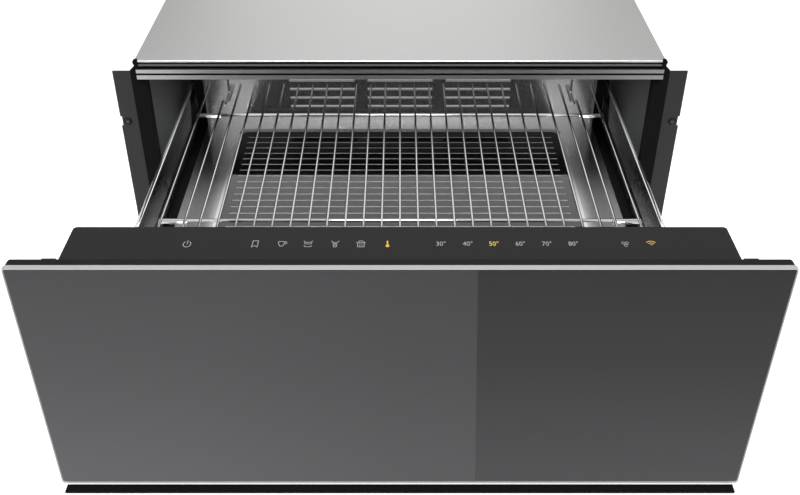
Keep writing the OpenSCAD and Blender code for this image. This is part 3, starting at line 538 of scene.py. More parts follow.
# Nodes that a finer piece stands for have their finish too.
NODE_FINISHES = {
    "top_panel": steel_top,
    "front_rail": steel_rail,
    "floor_pan": steel_floor,
    "inner_front_panel": steel_floor,
    "rear_wall": steel_wall,
    "rack_studs": screw_steel,
    "base_panel": zinc_sheet,
    "rear_panel": zinc_sheet,
    "left_side_panel": zinc_sheet,
    "right_side_panel": zinc_sheet,
    "chassis_pan": zinc_sheet,
    "duct_cover": zinc_sheet,
    "left_slide_bracket": zinc_sheet,
    "right_slide_bracket": zinc_sheet,
    "left_cabinet_rail": zinc_slide,
    "right_cabinet_rail": zinc_slide,
    "left_middle_rail": zinc_slide,
    "right_middle_rail": zinc_slide,
    "left_drawer_rail": zinc_slide,
    "right_drawer_rail": zinc_slide,
    "left_flange": dark_coat,
    "right_flange": dark_coat,
    "lower_front_rail": dark_coat,
    "left_front_bracket": dark_coat,
    "right_front_bracket": dark_coat,
    "front_frame": black_plastic,
    "base_lip": ledge_plastic,
    "left_side_profile": profile_black,
    "right_side_profile": profile_black,
    "terminal_box": black_plastic,
    "cable_gland": black_plastic,
    "latch_body": black_plastic,
    "left_gasket_strip": seal_rubber,
    "right_gasket_strip": seal_rubber,
    "rail_seal": seal_hollow_painted_shade,
    "rail_bead": lip_painted_highlight,
    "rail_end_caps": seal_rubber,
    "control_panel": panel_coat,
    "control_housing": panel_coat,
    "control_board": board_mask,
    "front_glass": front_coat,
    "left_side_glass": clear_glass,
    "right_side_glass": clear_glass,
    "hot_plate": plate_glass,
    "plate_heater": silicone_mat,
    "insulation_board": mineral_wool,
    "rack_wires": chrome,
    "rack_bars": chrome,
    "carcass_screws": screw_steel,
    "drawer_screws": screw_steel,
    "temperature_probe": screw_steel,
    "fan_wheel": zinc_slide,
    "fan_motor": motor_paint,
    "air_heater": heater_tube,
    "latch_plunger": pale_acetal,
}
for node_name, finish in NODE_FINISHES.items():
    node_mesh = frame["nodes"][node_name].data
    node_mesh.materials.clear()
    node_mesh.materials.append(finish)


# ---------------------------------------------------------------------------
# Front glass
# ---------------------------------------------------------------------------

EDGE_WHITE_MM = 1.2  # pale outer band of the ground edge
EDGE_GREY_MM = 1.2  # darker facet inside it
FOOT_EDGE = 1.8  # the bands are this much wider along the bottom
HEAD_EDGE = 0.15  # and this narrow along the top
FOOT_REACH = 5.0 * MM  # facets no higher than this above the bottom are its own
ARRIS_MM = 0.25  # small round between the plate's side and the pale band
FACE_SLOT, EDGE_SLOT, FACET_SLOT, TOP_SLOT, FOOT_SLOT = range(5)


def rounded_outline(low_x, high_x, low_z, high_z, radius, steps=6):
    """X and Z of a rounded rectangle, anticlockwise from the bottom left."""
    points = []
    corners = [
        (low_x + radius, low_z + radius, 180),
        (high_x - radius, low_z + radius, 270),
        (high_x - radius, high_z - radius, 0),
        (low_x + radius, high_z - radius, 90),
    ]
    for x, z, start in corners:
        for i in range(steps + 1):
            angle = math.radians(start + 90.0 * i / steps)
            points.append(
                (x + radius * math.cos(angle), z + radius * math.sin(angle))
            )
    return points


def make_front_glass():
    """Plate with a pale ground edge, which has a painted glow, and a grey facet round
    its dark face; faces that look up and the facet along the foot are lighter, with
    painted light. Each ring is given by how far in it lies from the sides and from the
    foot in mm, its
    Y, and its corner radius in mm."""
    low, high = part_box("front_glass")
    face_y, back_y = low.y, high.y
    inner_edge = EDGE_WHITE_MM + EDGE_GREY_MM
    rings = []
    for side, foot, y, radius in (
        (0.0, 0.0, back_y, 3.0),
        (0.0, 0.0, face_y + 1.0 * MM, 3.0),
        (ARRIS_MM, ARRIS_MM, face_y + 0.35 * MM, 2.8),
        (EDGE_WHITE_MM, EDGE_WHITE_MM * FOOT_EDGE, face_y + 0.12 * MM, 2.2),
        (inner_edge, inner_edge * FOOT_EDGE, face_y, 1.6),
    ):
        head = side * HEAD_EDGE
        outline = rounded_outline(
            low.x + side * MM,
            high.x - side * MM,
            low.z + foot * MM,
            high.z - head * MM,
            radius * MM,
        )
        rings.append([(x, y, z) for x, z in outline])
    bm = bmesh.new()
    loops = [[bm.verts.new(p) for p in ring] for ring in rings]
    count = len(loops[0])
    ring_slots = (EDGE_SLOT, EDGE_SLOT, EDGE_SLOT, FACET_SLOT)
    for inner, outer, ring_slot in zip(loops, loops[1:], ring_slots):
        for i in range(count):
            j = (i + 1) % count
            face = bm.faces.new((inner[i], inner[j], outer[j], outer[i]))
            face.material_index = ring_slot
    bm.faces.new(loops[-1]).material_index = FACE_SLOT
    bm.faces.new(list(reversed(loops[0]))).material_index = FACE_SLOT
    bmesh.ops.recalc_face_normals(bm, faces=bm.faces)
    for face in bm.faces:
        face.normal_update()
        near_foot = face.calc_center_median().z < low.z + FOOT_REACH
        # Upward faces and the facet along the foot take the lighter copies: painted
        # light.
        if face.normal.z > 0.3:
            face.material_index = TOP_SLOT
        elif face.material_index == FACET_SLOT and near_foot:
            face.material_index = FOOT_SLOT
    mesh = mesh_from(bm, "front_glass_plate", 20.0)
    for edge in mesh.edges:
        if edge.vertices[0] // count == edge.vertices[1] // count:
            edge.use_edge_sharp = True
    plate = new_object(
        "front_glass_plate",
        mesh,
        [front_coat, painted_glow_edge, glass_facet, painted_light_top_edge, painted_light_foot_facet],
        "drawer",
    )
    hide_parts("front_glass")


make_front_glass()


def make_side_glass(node):
    """Clear pane with a polished edge all round."""
    low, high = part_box(node)
    outline = rounded_outline(low.x, high.x, low.z, high.z, 1.0 * MM, 4)
    bm = bmesh.new()
    front, rear = (
        [bm.verts.new((x, y, z)) for x, z in outline] for y in (low.y, high.y)
    )
    for i in range(len(outline)):
        j = (i + 1) % len(outline)
        bm.faces.new((front[i], front[j], rear[j], rear[i]))
    bm.faces.new(front)
    bm.faces.new(list(reversed(rear)))
    bmesh.ops.recalc_face_normals(bm, faces=bm.faces)
    for face in bm.faces:
        face.normal_update()
        face.material_index = 0 if abs(face.normal.x) > 0.99 else 1
    pane = new_object(
        node + "_pane",
        mesh_from(bm, node + "_pane", 30.0),
        [clear_glass, pane_edge],
        "drawer",
    )
    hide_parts(node)


make_side_glass("left_side_glass")
make_side_glass("right_side_glass")


# ---------------------------------------------------------------------------
# Rows and wires
# ---------------------------------------------------------------------------


def new_tree(name, inputs):
    """A Geometry Nodes tree with named inputs, its group input and output."""
    tree = bpy.data.node_groups.new(name, "GeometryNodeTree")
    geometry = ("Geometry", "NodeSocketGeometry")
    for label, kind in [geometry, *inputs]:
        tree.interface.new_socket(label, in_out="INPUT", socket_type=kind)
    tree.interface.new_socket(geometry[0], in_out="OUTPUT", socket_type=geometry[1])
    return tree, tree.nodes.new("NodeGroupInput"), tree.nodes.new("NodeGroupOutput")


def row_nodes(tree, given, shape):
    """Copies of a shape in a straight row, realised and given their finish."""
    line = add(
        tree,
        "GeometryNodeMeshLine",
        {
            "Count": given.outputs["Count"],
            "Start Location": given.outputs["First"],
            "Offset": given.outputs["Step"],
        },
        mode="OFFSET",
    )
    copies = add(
        tree,
        "GeometryNodeInstanceOnPoints",
        {"Points": line.outputs["Mesh"], "Instance": shape},
    )
    real = add(tree, "GeometryNodeRealizeInstances", {0: copies.outputs[0]})
    return add(
        tree,
        "GeometryNodeSetMaterial",
        {"Geometry": real.outputs[0], "Material": given.outputs["Finish"]},
    ).outputs[0]


ROW_INPUTS = [
    ("Count", "NodeSocketInt"),
    ("First", "NodeSocketVector"),
    ("Step", "NodeSocketVector"),
    ("Finish", "NodeSocketMaterial"),
]

row_tree, row_given, row_result = new_tree("row_of_copies", ROW_INPUTS)
row_tree.links.new(
    row_nodes(row_tree, row_given, row_given.outputs["Geometry"]), row_result.inputs[0]
)

WIRE_INPUTS = [
    *ROW_INPUTS,
    ("Wire diameter", "NodeSocketFloat"),
    ("Bend radius", "NodeSocketFloat"),
]
wire_tree, wire_given, wire_result = new_tree("row_of_bent_wires", WIRE_INPUTS)
bent = add(
    wire_tree,
    "GeometryNodeFilletCurve",
    {
        "Curve": wire_given.outputs["Geometry"],
        "Radius": wire_given.outputs["Bend radius"],
        "Count": 6,
    },
    mode="POLY",
)
half = add(
    wire_tree,
    "ShaderNodeMath",
    {0: wire_given.outputs["Wire diameter"], 1: 0.5},
    operation="MULTIPLY",
)
round_section = add(
    wire_tree,
    "GeometryNodeCurvePrimitiveCircle",
    {"Resolution": 14, "Radius": half.outputs[0]},
)
swept = add(
    wire_tree,
    "GeometryNodeCurveToMesh",
    {
        "Curve": bent.outputs[0],
        "Profile Curve": round_section.outputs[0],
        "Fill Caps": True,
    },
)
wire_tree.links.new(
    row_nodes(wire_tree, wire_given, swept.outputs[0]), wire_result.inputs[0]
)


def grown(piece, tree, name, **values):
    """The piece after its tree has run with these inputs, as a plain mesh."""
    modifier = piece.modifiers.new(tree.name, "NODES")
    modifier.node_group = tree
    for item in tree.interface.items_tree:
        key = item.name.replace(" ", "_")
        if item.in_out == "INPUT" and key in values:
            modifier[item.identifier] = values[key]
    return evaluated_mesh(piece, name)


def path_object(points):
    """A poly curve through points."""
    curve = bpy.data.curves.new("path", "CURVE")
    curve.dimensions = "3D"
    spline = curve.splines.new("POLY")
    spline.points.add(len(points) - 1)
    for spot, point in zip(spline.points, points):
        spot.co = (*point, 1.0)
    piece = bpy.data.objects.new("path", curve)
    bpy.context.scene.collection.objects.link(piece)
    return piece


def joined(meshes, name):
    """Several meshes as one, with smooth faces and sharp edges."""
    bm = bmesh.new()
    for mesh in meshes:
        bm.from_mesh(mesh)
        bpy.data.meshes.remove(mesh)
    bmesh.ops.recalc_face_normals(bm, faces=bm.faces)
    return mesh_from(bm, name)


# Rack: the same runs as the solids have. The middle wires are plain; one on each
# side steps down to the studs and rises at the rear as a guard.
WIRE_D = 2.5 * MM
WIRE_PITCH = 17.56 * MM
WIRE_COUNT = 23
STEP_WIRE_X = 208.2 * MM
OUTER_WIRE_X = 231.4 * MM
BEND_R = 4.0 * MM
STEP_DROP = 10.2 * MM
STEP_RUN = 13.0 * MM  # length of each slope
FRONT_STEP = 26.0 * MM  # low part at the front
WIRE_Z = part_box("floor_pan")[1].z + 52.8 * MM
WIRES_LOW, WIRES_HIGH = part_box("rack_wires")
WIRE_Y0 = WIRES_LOW.y
GUARD_Y = WIRES_HIGH.y - WIRE_D / 2
GUARD_TOP = WIRES_HIGH.z
REAR_WALL_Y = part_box("rear_wall")[0].y + 1.8 * MM
STEP_Y = REAR_WALL_Y - 46.0 * MM  # where the rear slope starts


def make_rack_wires():
    """The rack's wires along Y. The mirror-like tray would show each one twice,
    so reflections leave them out."""
    step_z = WIRE_Z - STEP_DROP
    plain = [(0, WIRE_Y0, WIRE_Z), (0, GUARD_Y + WIRE_D / 2, WIRE_Z)]
    stepped = [
        (0, WIRE_Y0, step_z),
        (0, WIRE_Y0 + FRONT_STEP, step_z),
        (0, WIRE_Y0 + FRONT_STEP + STEP_RUN, WIRE_Z),
        (0, STEP_Y, WIRE_Z),
        (0, STEP_Y + STEP_RUN, step_z),
        (0, GUARD_Y, step_z),
        (0, GUARD_Y, GUARD_TOP),
    ]
    first_x = -WIRE_PITCH * (WIRE_COUNT - 1) / 2
    meshes = [
        grown(
            path_object(path),
            wire_tree,
            "wires",
            Count=count,
            First=(first, 0.0, 0.0),
            Step=(step, 0.0, 0.0),
            Finish=chrome,
            Wire_diameter=WIRE_D,
            Bend_radius=BEND_R,
        )
        for path, count, first, step in (
            (plain, WIRE_COUNT, first_x, WIRE_PITCH),
            (plain, 2, -OUTER_WIRE_X, 2 * OUTER_WIRE_X),
            (stepped, 2, -STEP_WIRE_X, 2 * STEP_WIRE_X),
        )
    ]
    wires = new_object(
        "rack_long_wires",
        joined(meshes, "rack_long_wires"),
        chrome,
        "rack",
    )
    wires.visible_glossy = False
    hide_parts("rack_wires")
    return wires


rack_long_wires = make_rack_wires()
rack_cross_bars = softened("rack_bars", chrome, 0.3, "rack_cross_bars")
rack_cross_bars.visible_glossy = False
hot_plate_glass = softened(
    "hot_plate", plate_glass, 0.35, "hot_plate_glass"
)


def make_plate_lines():
    """Printed lines across the hot plate."""
    low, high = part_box("hot_plate")
    half_length = 184.5 * MM
    width, pitch, rear_margin = 0.9 * MM, 12.97 * MM, 13.6 * MM
    lift = 0.03 * MM  # thickness of the enamel
    count = int((high.y - low.y - 2 * rear_margin) / pitch) + 1
    bm = bmesh.new()
    bmesh.ops.create_cube(
        bm, size=1.0, matrix=Matrix.Diagonal((2 * half_length, width, lift, 1.0))
    )
    mesh = bpy.data.meshes.new("line")
    bm.to_mesh(mesh)
    bm.free()
    line = bpy.data.objects.new("line", mesh)
    bpy.context.scene.collection.objects.link(line)
    result = grown(
        line,
        row_tree,
        "plate_lines",
        Count=count,
        First=(0.0, high.y - rear_margin, high.z + lift / 2),
        Step=(0.0, -pitch, 0.0),
        Finish=plate_print,
    )
    result.materials.clear()
    return new_object("hot_plate_lines", result, plate_print, "drawer")


hot_plate_lines = make_plate_lines()


# ---------------------------------------------------------------------------
# Mounting screws in the flanges
# ---------------------------------------------------------------------------


def make_mounting_screws():
    """Pan-head screws in the four flange holes, each with a shallow recess. The
    profile has the radius and height of each ring in millimetres."""
    mount = next(m for m in frame["record"]["mounts"] if m["name"] == "flange_screws")
    half_x = mount["dims"]["spacing_x_mm"] / 2 * MM
    half_z = mount["dims"]["spacing_y_mm"] / 2 * MM
    seat_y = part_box("right_flange")[0].y
    profile = [(4.5, 0.0), (4.4, 0.5), (3.4, 1.0), (1.8, 1.2), (1.5, 0.8)]
    black_slot, light_middle_slot = 0, 1
    steps = 28
    bm = bmesh.new()
    for x in (-half_x, half_x):
        for z in (mount["pos_m"][2] - half_z, mount["pos_m"][2] + half_z):
            rings = []
            for radius, height in profile:
                ring = []
                for i in range(steps):
                    angle = 2 * math.pi * i / steps
                    across = x + radius * MM * math.cos(angle)
                    up = z + radius * MM * math.sin(angle)
                    ring.append(bm.verts.new((across, seat_y - height * MM, up)))
                rings.append(ring)
            for inner, outer in zip(rings, rings[1:]):
                finish_slot = light_middle_slot if outer is rings[-1] else black_slot
                for i in range(steps):
                    j = (i + 1) % steps
                    face = bm.faces.new((inner[i], inner[j], outer[j], outer[i]))
                    face.material_index = finish_slot
            bm.faces.new(rings[-1]).material_index = light_middle_slot
            bm.faces.new(list(reversed(rings[0])))
    bmesh.ops.recalc_face_normals(bm, faces=bm.faces)
    new_object(
        "mounting_screws",
        mesh_from(bm, "mounting_screws"),
        [screw_black, screw_light_middle],
        "carcass",
    )


make_mounting_screws()


# ---------------------------------------------------------------------------
# Pictograms and numerals on the control panel
# ---------------------------------------------------------------------------

PANEL_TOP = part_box("control_panel")[1].z
ROW_Y = GLASS_LOW.y + 36.9 * MM  # middle of the row
INK = 0.06 * MM  # thickness of the print
ICON_X, ICON_Y = 0.68, 0.9  # the print is longer in Y than it is wide
THIN, FINE, LIGHT, LINE, STEM = 0.6, 0.7, 0.8, 0.9, 1.6  # line widths in mm


def stroke(bm, points, width, closed=False):
    """A flat ribbon along a line of points in X and Y, with mitred turns."""
    count = len(points)
    spots = [Vector((p[0], p[1])) for p in points]
    left, right = [], []
    for i, spot in enumerate(spots):
        before = spots[i - 1] if (i > 0 or closed) else None
        after = spots[(i + 1) % count] if (i < count - 1 or closed) else None
        into = (spot - before).normalized() if before is not None else None
        out = (after - spot).normalized() if after is not None else None
        tangent = ((into or out) + (out or into)).normalized()
        normal = Vector((-tangent.y, tangent.x))
        edge = into or out
        mitre = max(0.5, normal.dot(Vector((-edge.y, edge.x))))
        offset = normal * (width / 2 / mitre)
        left.append(bm.verts.new((*(spot + offset), INK)))
        right.append(bm.verts.new((*(spot - offset), INK)))
    for i in range(count if closed else count - 1):
        j = (i + 1) % count
        bm.faces.new((right[i], right[j], left[j], left[i]))


def arc(x, y, radius, start, end, steps, squash=1.0):
    """Points on a circle, angles in degrees."""
    points = []
    for i in range(steps + 1):
        angle = math.radians(start + (end - start) * i / steps)
        points.append(
            (x + radius * math.cos(angle), y + squash * radius * math.sin(angle))
        )
    return points


def disc(bm, x, y, radius):
    """A filled circle."""
    rim = arc(x, y, radius, 0, 345, 23)
    bm.faces.new([bm.verts.new((rim_x, rim_y, INK)) for rim_x, rim_y in rim])


def draw_power(bm):
    stroke(bm, arc(0, -0.4, 4.2, 120, 420, 24), LINE)
    stroke(bm, [(0.2, -0.6), (0.2, 5.4)], LINE)


def draw_dish_cover(bm):
    ribbon = [(-3.2, -4.6), (-2.6, 4.6), (3.4, 4.6), (3.0, -4.6), (0.0, -2.6)]
    stroke(bm, ribbon, LINE, closed=True)


def draw_cup(bm):
    bowl = [(-4.2, 3.4), (3.0, 3.4), (2.8, 0.6), (1.0, -3.2), (-2.2, -3.2), (-4.0, 0.6)]
    stroke(bm, bowl, LINE, closed=True)
    stroke(bm, arc(3.6, 1.6, 1.8, 110, -100, 10), LIGHT)


def draw_plates(bm):
    stroke(bm, [(-5.0, 4.6), (-3.4, 2.4), (3.4, 2.4), (5.0, 4.6)], LIGHT)
    for y in (0.0, -4.2):
        stroke(bm, [(-4.2, y + 2.0), (-3.4, y), (3.4, y), (4.2, y + 2.0)], LIGHT)


def draw_bowl(bm):
    stroke(bm, [(-4.4, 4.6), (-2.4, 2.0), (2.4, 2.0), (4.4, 4.6)], LIGHT)
    stroke(bm, [(-2.6, 0.4), (2.6, 0.4)], LIGHT)
    foot = [(-2.0, -1.4), (-1.4, -4.4), (1.4, -4.4), (2.0, -1.4)]
    stroke(bm, foot, LINE, closed=True)


def draw_pot(bm):
    pot = [(-3.8, 1.8), (3.8, 1.8), (3.6, -4.4), (-3.6, -4.4)]
    stroke(bm, pot, LINE, closed=True)
    stroke(bm, arc(0, 1.8, 3.6, 0, 180, 10, 0.75), LIGHT)
    stroke(bm, [(-5.6, 1.8), (-3.8, 1.8)], LINE)
    stroke(bm, [(3.8, 1.8), (5.6, 1.8)], LINE)
    for x in (-1.2, 1.2):
        stroke(bm, [(x, 0.8), (x, -3.2)], THIN)


def draw_thermometer(bm):
    stroke(bm, [(0, 4.6), (0, -2.0)], STEM)
    disc(bm, 0, -2.8, 2.1)


def draw_steam(bm):
    for turn in range(3):
        angle = math.radians(30 + 120 * turn)
        x, y = 2.4 * math.cos(angle), 2.4 * math.sin(angle)
        stroke(bm, arc(x, y, 1.7, 0, 330, 12), FINE)


def draw_sweep(bm):
    stroke(bm, arc(0, -3.4, 7.4, 45, 135, 8), LIGHT)
    stroke(bm, arc(0, -3.4, 4.8, 50, 130, 8), LIGHT)
    stroke(bm, arc(0, -3.4, 2.4, 55, 125, 6), LIGHT)


# Each pictogram with its X in mm.
PICTOGRAMS = (
    ("power", -163.6, draw_power, print_grey),
    ("dish_cover", -111.4, draw_dish_cover, print_grey),
    ("cup", -90.7, draw_cup, print_grey),
    ("plates", -70.7, draw_plates, print_grey),
    ("bowl", -49.9, draw_bowl, print_grey),
    ("pot", -30.0, draw_pot, print_grey),
    ("thermometer", -9.6, draw_thermometer, print_amber),
    ("timer", 173.2, draw_steam, print_grey),
    ("sweep", 193.2, draw_sweep, print_amber),
)
for icon_name, icon_x, draw, icon_finish in PICTOGRAMS:
    icon = bmesh.new()
    draw(icon)
    size = Matrix.Diagonal((ICON_X * MM, ICON_Y * MM, 1.0, 1.0))
    bmesh.ops.transform(icon, matrix=size, verts=icon.verts)
    shift = Matrix.Translation((icon_x * MM, ROW_Y, PANEL_TOP))
    bmesh.ops.transform(icon, matrix=shift, verts=icon.verts)
    new_object(
        "pictogram_" + icon_name,
        mesh_from(icon, icon_name),
        icon_finish,
        "drawer",
    )

# Each temperature with its X in mm; the one that is set is lit.
NUMERALS = ((30, 31.5), (40, 52.2), (50, 72.2), (60, 92.6), (70, 112.9), (80, 133.3))
NUMERAL_SIZE = 8.0 * MM
NUMERAL_X = 0.71  # width against that of the font
LIT_VALUE = 50
for value, numeral_x in NUMERALS:
    text = bpy.data.curves.new("numeral", "FONT")
    text.body = str(value) + "°"
    text.size = NUMERAL_SIZE
    text.align_x = "CENTER"
    text.align_y = "CENTER"
    text.extrude = INK / 2
    text.offset = 0.03 * MM
    text.resolution_u = 3
    text_piece = bpy.data.objects.new("numeral", text)
    bpy.context.scene.collection.objects.link(text_piece)
    numeral_mesh = evaluated_mesh(text_piece, "numeral_%d" % value)
    numeral_mesh.transform(
        Matrix.Translation((numeral_x * MM, ROW_Y, PANEL_TOP + INK / 2))
        @ Matrix.Diagonal((NUMERAL_X, 1.0, 1.0, 1.0))
    )
    numeral_mesh.materials.clear()
    new_object(
        "numeral_%d" % value,
        numeral_mesh,
        print_amber if value == LIT_VALUE else print_grey,
        "drawer",
    )


# ---------------------------------------------------------------------------
# Studio
# ---------------------------------------------------------------------------


def stage_plane(name, half_size, z, material):
    """A level square that belongs to the studio."""
    mesh = bpy.data.meshes.new(name)
    mesh.from_pydata(
        [
            (-half_size, -half_size, z),
            (half_size, -half_size, z),
            (half_size, half_size, z),
            (-half_size, half_size, z),
        ],
        [],
        [(0, 1, 2, 3)],
    )
    mesh.materials.append(material)
    piece = bpy.data.objects.new(name, mesh)
    bpy.context.scene.collection.objects.link(piece)


def seen_level(tree):
    """1 for what the camera sees straight, mirrored or through glass, else 0."""
    path = add(tree, "ShaderNodeLightPath")
    level = path.outputs["Is Camera Ray"]
    for ray in ("Is Glossy Ray", "Is Transmission Ray"):
        either = {0: level, 1: path.outputs[ray]}
        level = add(tree, "ShaderNodeMath", either, operation="MAXIMUM").outputs[0]
    return level


# Pale floor: it shows white to the camera and keeps a soft shadow.
floor_paint, floor_tree, floor_shader = new_material(
    "pale_studio_floor", Base_Color=linear("#d8d8d8"), Roughness=1.0
)
floor_shader.inputs["Specular IOR Level"].default_value = 0.0
FLOOR_GLOW = 0.75
FLOOR_HALF = 6.0
FLOOR_Z = -0.5 * MM
glow = add(
    floor_tree,
    "ShaderNodeMath",
    {0: seen_level(floor_tree), 1: FLOOR_GLOW},
    operation="MULTIPLY",
)
floor_shader.inputs["Emission Color"].default_value = (1.0, 1.0, 1.0, 1.0)
floor_tree.links.new(glow.outputs[0], floor_shader.inputs["Emission Strength"])
stage_plane("studio_floor", FLOOR_HALF, FLOOR_Z, floor_paint)


def ramp(tree, place, stops):
    """A strength that follows stops of place and strength."""
    strength = stops[0][1]
    for (start, low), (end, high) in zip(stops, stops[1:]):
        step = add(
            tree,
            "ShaderNodeMapRange",
            {0: place, 1: start, 2: end, 3: 0.0, 4: high - low},
        )
        strength = add(
            tree, "ShaderNodeMath", {0: strength, 1: step.outputs[0]}, operation="ADD"
        ).outputs[0]
    return strength


EVEN = ((0.0, 1.0), (1.0, 1.0))


def reflector(name, corners, stops, along, side_stops=EVEN, tint=1.0, clear=False):
    """A studio card that only reflections see. Its brightness follows stops of
    place and strength along one axis, times side_stops along X. A clear one
    adds its light and hides nothing behind it."""
    material = bpy.data.materials.new(name)
    material.use_nodes = True
    tree = material.node_tree
    tree.nodes.remove(tree.nodes["Principled BSDF"])
    place = add(tree, "ShaderNodeTexCoord")
    axes = add(tree, "ShaderNodeSeparateXYZ", {0: place.outputs["Object"]})
    strength = add(
        tree,
        "ShaderNodeMath",
        {
            0: ramp(tree, axes.outputs[along], stops),
            1: ramp(tree, axes.outputs["X"], side_stops),
        },
        operation="MULTIPLY",
    )
    card_light = add(
        tree,
        "ShaderNodeEmission",
        {"Strength": strength.outputs[0], "Color": (tint, tint, 1.0, 1.0)},
    )
    if clear:
        glassy = add(tree, "ShaderNodeBsdfTransparent")
        card_light = add(
            tree,
            "ShaderNodeAddShader",
            {0: card_light.outputs[0], 1: glassy.outputs[0]},
        )
    surface = tree.nodes["Material Output"].inputs["Surface"]
    tree.links.new(card_light.outputs[0], surface)
    mesh = bpy.data.meshes.new(name)
    mesh.from_pydata(corners, [], [tuple(range(len(corners)))])
    mesh.materials.append(material)
    card = bpy.data.objects.new(name, mesh)
    bpy.context.scene.collection.objects.link(card)
    card.visible_camera = False
    card.visible_diffuse = False
    card.visible_transmission = False
    card.visible_shadow = False
    return card


# Cards on the floor in front: the front glass shows the edge between them. They
# dim away from the glass, and are a little blue.
CARD_Z = 1.0 * MM
CARD_HALF_X = 1.6
CARD_TINT = 0.965
CARD_NEAR = GLASS_LOW.y - 0.010
CARD_SOFT = GLASS_LOW.y - 0.16
CARD_MIDDLE = GLASS_LOW.y - 0.326
CARD_FAR = GLASS_LOW.y - 0.95
EDGE_FOOT = (0.0662, CARD_NEAR, CARD_Z)
EDGE_MIDDLE = (0.0895, CARD_MIDDLE, CARD_Z)
EDGE_FAR = (0.140, CARD_FAR, CARD_Z)
reflector(
    "bright_floor_card",
    [
        (-CARD_HALF_X, CARD_NEAR, CARD_Z),
        (-CARD_HALF_X, CARD_FAR, CARD_Z),
        EDGE_FAR,
        EDGE_MIDDLE,
        EDGE_FOOT,
    ],
    ((CARD_FAR, 0.5), (CARD_MIDDLE, 0.72), (CARD_SOFT, 1.0), (CARD_NEAR, 1.45)),
    "Y",
    ((-0.5, 0.93), (-0.2, 0.86), (0.0, 0.69), (0.14, 0.63)),
    tint=CARD_TINT,
)
reflector(
    "dark_floor_card",
    [
        EDGE_FOOT,
        EDGE_MIDDLE,
        EDGE_FAR,
        (CARD_HALF_X, CARD_FAR, CARD_Z),
        (CARD_HALF_X, CARD_NEAR, CARD_Z),
    ],
    ((CARD_FAR, 0.06), (CARD_MIDDLE, 0.075), (CARD_SOFT, 0.28), (CARD_NEAR, 0.69)),
    "Y",
    tint=CARD_TINT,
)

# Bright ceiling inside the carcass, in four cards for different pieces. The hot
# plate's black glass mirrors the first over the rear wall's top edge. The steel,
# the louvres and the long wires see dimmer ones, which fade towards the rear.
TOP_LOW, TOP_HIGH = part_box("top_panel")
CEILING_HALF_X = 257.0 * MM
CEILING_FRONT = TOP_LOW.y + 28.0 * MM
CEILING_REAR = TOP_HIGH.y - 10.0 * MM
GRAZING_Y = REAR_WALL_Y + 154.0 * MM  # where a glance over the rear wall meets it
EDGE_BLUR = 2.0 * MM
LIP_SHARE = 0.3  # how much of the steel's light the louvres' lips see
PLATE_STOPS = (
    (CEILING_FRONT, 5.6),
    (GRAZING_Y, 5.2),
    (GRAZING_Y + EDGE_BLUR, 0.0),
    (CEILING_REAR, 0.0),
)
STEEL_STOPS = (
    (CEILING_FRONT, 1.3),
    (REAR_WALL_Y - 88.0 * MM, 1.35),
    (REAR_WALL_Y + 8.0 * MM, 1.4),
    (REAR_WALL_Y + 75.0 * MM, 1.0),
    (REAR_WALL_Y + 118.0 * MM, 0.34),
    (REAR_WALL_Y + 145.0 * MM, 0.0),
    (CEILING_REAR, 0.0),
)
LIP_STOPS = [(place, strength * LIP_SHARE) for place, strength in STEEL_STOPS]
WIRE_STOPS = (
    (CEILING_FRONT, 1.3),
    (REAR_WALL_Y + 8.0 * MM, 1.4),
    (REAR_WALL_Y + 70.0 * MM, 1.0),
    (REAR_WALL_Y + 95.0 * MM, 0.0),
    (CEILING_REAR, 0.0),
)


def ceiling_card(name, depth, stops, pieces, state, clear):
    """A card under the top panel, whose light is limited to some pieces or kept
    from them."""
    z = TOP_HIGH.z - depth
    corners = [
        (-CEILING_HALF_X, CEILING_FRONT, z),
        (CEILING_HALF_X, CEILING_FRONT, z),
        (CEILING_HALF_X, CEILING_REAR, z),
        (-CEILING_HALF_X, CEILING_REAR, z),
    ]
    card = reflector(name, corners, stops, "Y", clear=clear)
    group = bpy.data.collections.new(name + "_pieces")
    for piece in pieces:
        group.objects.link(piece)
    for entry in group.collection_objects:
        entry.light_linking.link_state = state
    card.light_linking.receiver_collection = group


PLATE_PIECES = [hot_plate_glass, hot_plate_lines]
WALL_PIECES = [frame["nodes"]["rear_wall"]]
WIRE_PIECES = [rack_long_wires]
OTHERS = PLATE_PIECES + WALL_PIECES + WIRE_PIECES
for card_name, depth, stops, pieces, state, clear in (
    ("plate", 4.0 * MM, PLATE_STOPS, PLATE_PIECES, "INCLUDE", False),
    ("steel", 5.0 * MM, STEEL_STOPS, OTHERS, "EXCLUDE", True),
    ("wall", 6.0 * MM, LIP_STOPS, WALL_PIECES, "INCLUDE", True),
    ("wires", 7.0 * MM, WIRE_STOPS, WIRE_PIECES, "INCLUDE", True),
):
    ceiling_card("ceiling_card_for_" + card_name, depth, stops, pieces, state, clear)

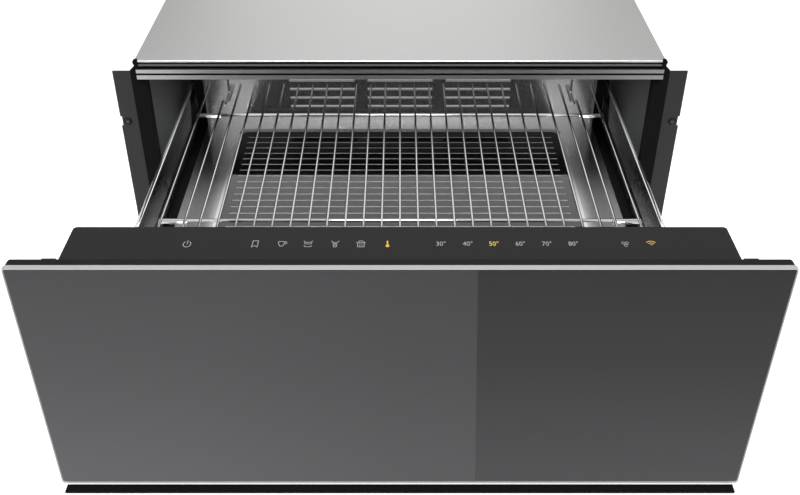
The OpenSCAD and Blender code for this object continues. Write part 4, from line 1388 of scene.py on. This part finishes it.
# Wide card behind: it shades the brushed top from left to right.
BACKDROP_HALF_X, BACKDROP_Y = 6.0, 3.0
BACKDROP_FOOT, BACKDROP_TOP = 0.4, 1.85
reflector(
    "rear_backdrop_card",
    [
        (-BACKDROP_HALF_X, BACKDROP_Y, BACKDROP_FOOT),
        (BACKDROP_HALF_X, BACKDROP_Y, BACKDROP_FOOT),
        (BACKDROP_HALF_X, BACKDROP_Y, BACKDROP_TOP),
        (-BACKDROP_HALF_X, BACKDROP_Y, BACKDROP_TOP),
    ],
    (
        (-1.6, 0.2),
        (-1.1, 0.42),
        (-0.65, 0.95),
        (0.0, 1.12),
        (0.5, 1.03),
        (1.0, 0.54),
        (1.6, 0.3),
    ),
    "X",
)

# White world to the camera and to mirrors, and a soft fill for the object.
WORLD_FILL = 0.25
world = bpy.data.worlds.new("studio_world")
bpy.context.scene.world = world
world.use_nodes = True
world_tree = world.node_tree
world_level = add(
    world_tree, "ShaderNodeMapRange", {0: seen_level(world_tree), 3: WORLD_FILL, 4: 1.0}
)
background = world_tree.nodes["Background"]
background.inputs["Color"].default_value = (1.0, 1.0, 1.0, 1.0)
world_tree.links.new(world_level.outputs[0], background.inputs["Strength"])


def area_lamp(name, place, target, size, power):
    """A soft square lamp that points at a target."""
    data = bpy.data.lights.new(name, "AREA")
    data.shape = "SQUARE"
    data.size = size
    data.energy = power
    lamp = bpy.data.objects.new(name, data)
    bpy.context.scene.collection.objects.link(lamp)
    lamp.location = place
    direction = Vector(target) - Vector(place)
    lamp.rotation_euler = direction.to_track_quat("-Z", "Y").to_euler()


# The key shines into the drawer from the front, over the control panel: behind
# the top rail's shadow edge the rack and the panes are dark.
KEY_TARGET = Vector((0.0, -0.27, 0.2))
KEY_ANGLE = math.radians(46.0)
KEY_DISTANCE = 3.0
KEY_SIZE = 1.0
KEY_WATTS = 95.0
KEY_DIRECTION = Vector((0.0, -math.cos(KEY_ANGLE), math.sin(KEY_ANGLE)))
KEY_PLACE = KEY_TARGET + KEY_DISTANCE * KEY_DIRECTION
area_lamp("key_lamp", KEY_PLACE, KEY_TARGET, KEY_SIZE, KEY_WATTS)

bpy.context.scene.view_settings.view_transform = "Standard"
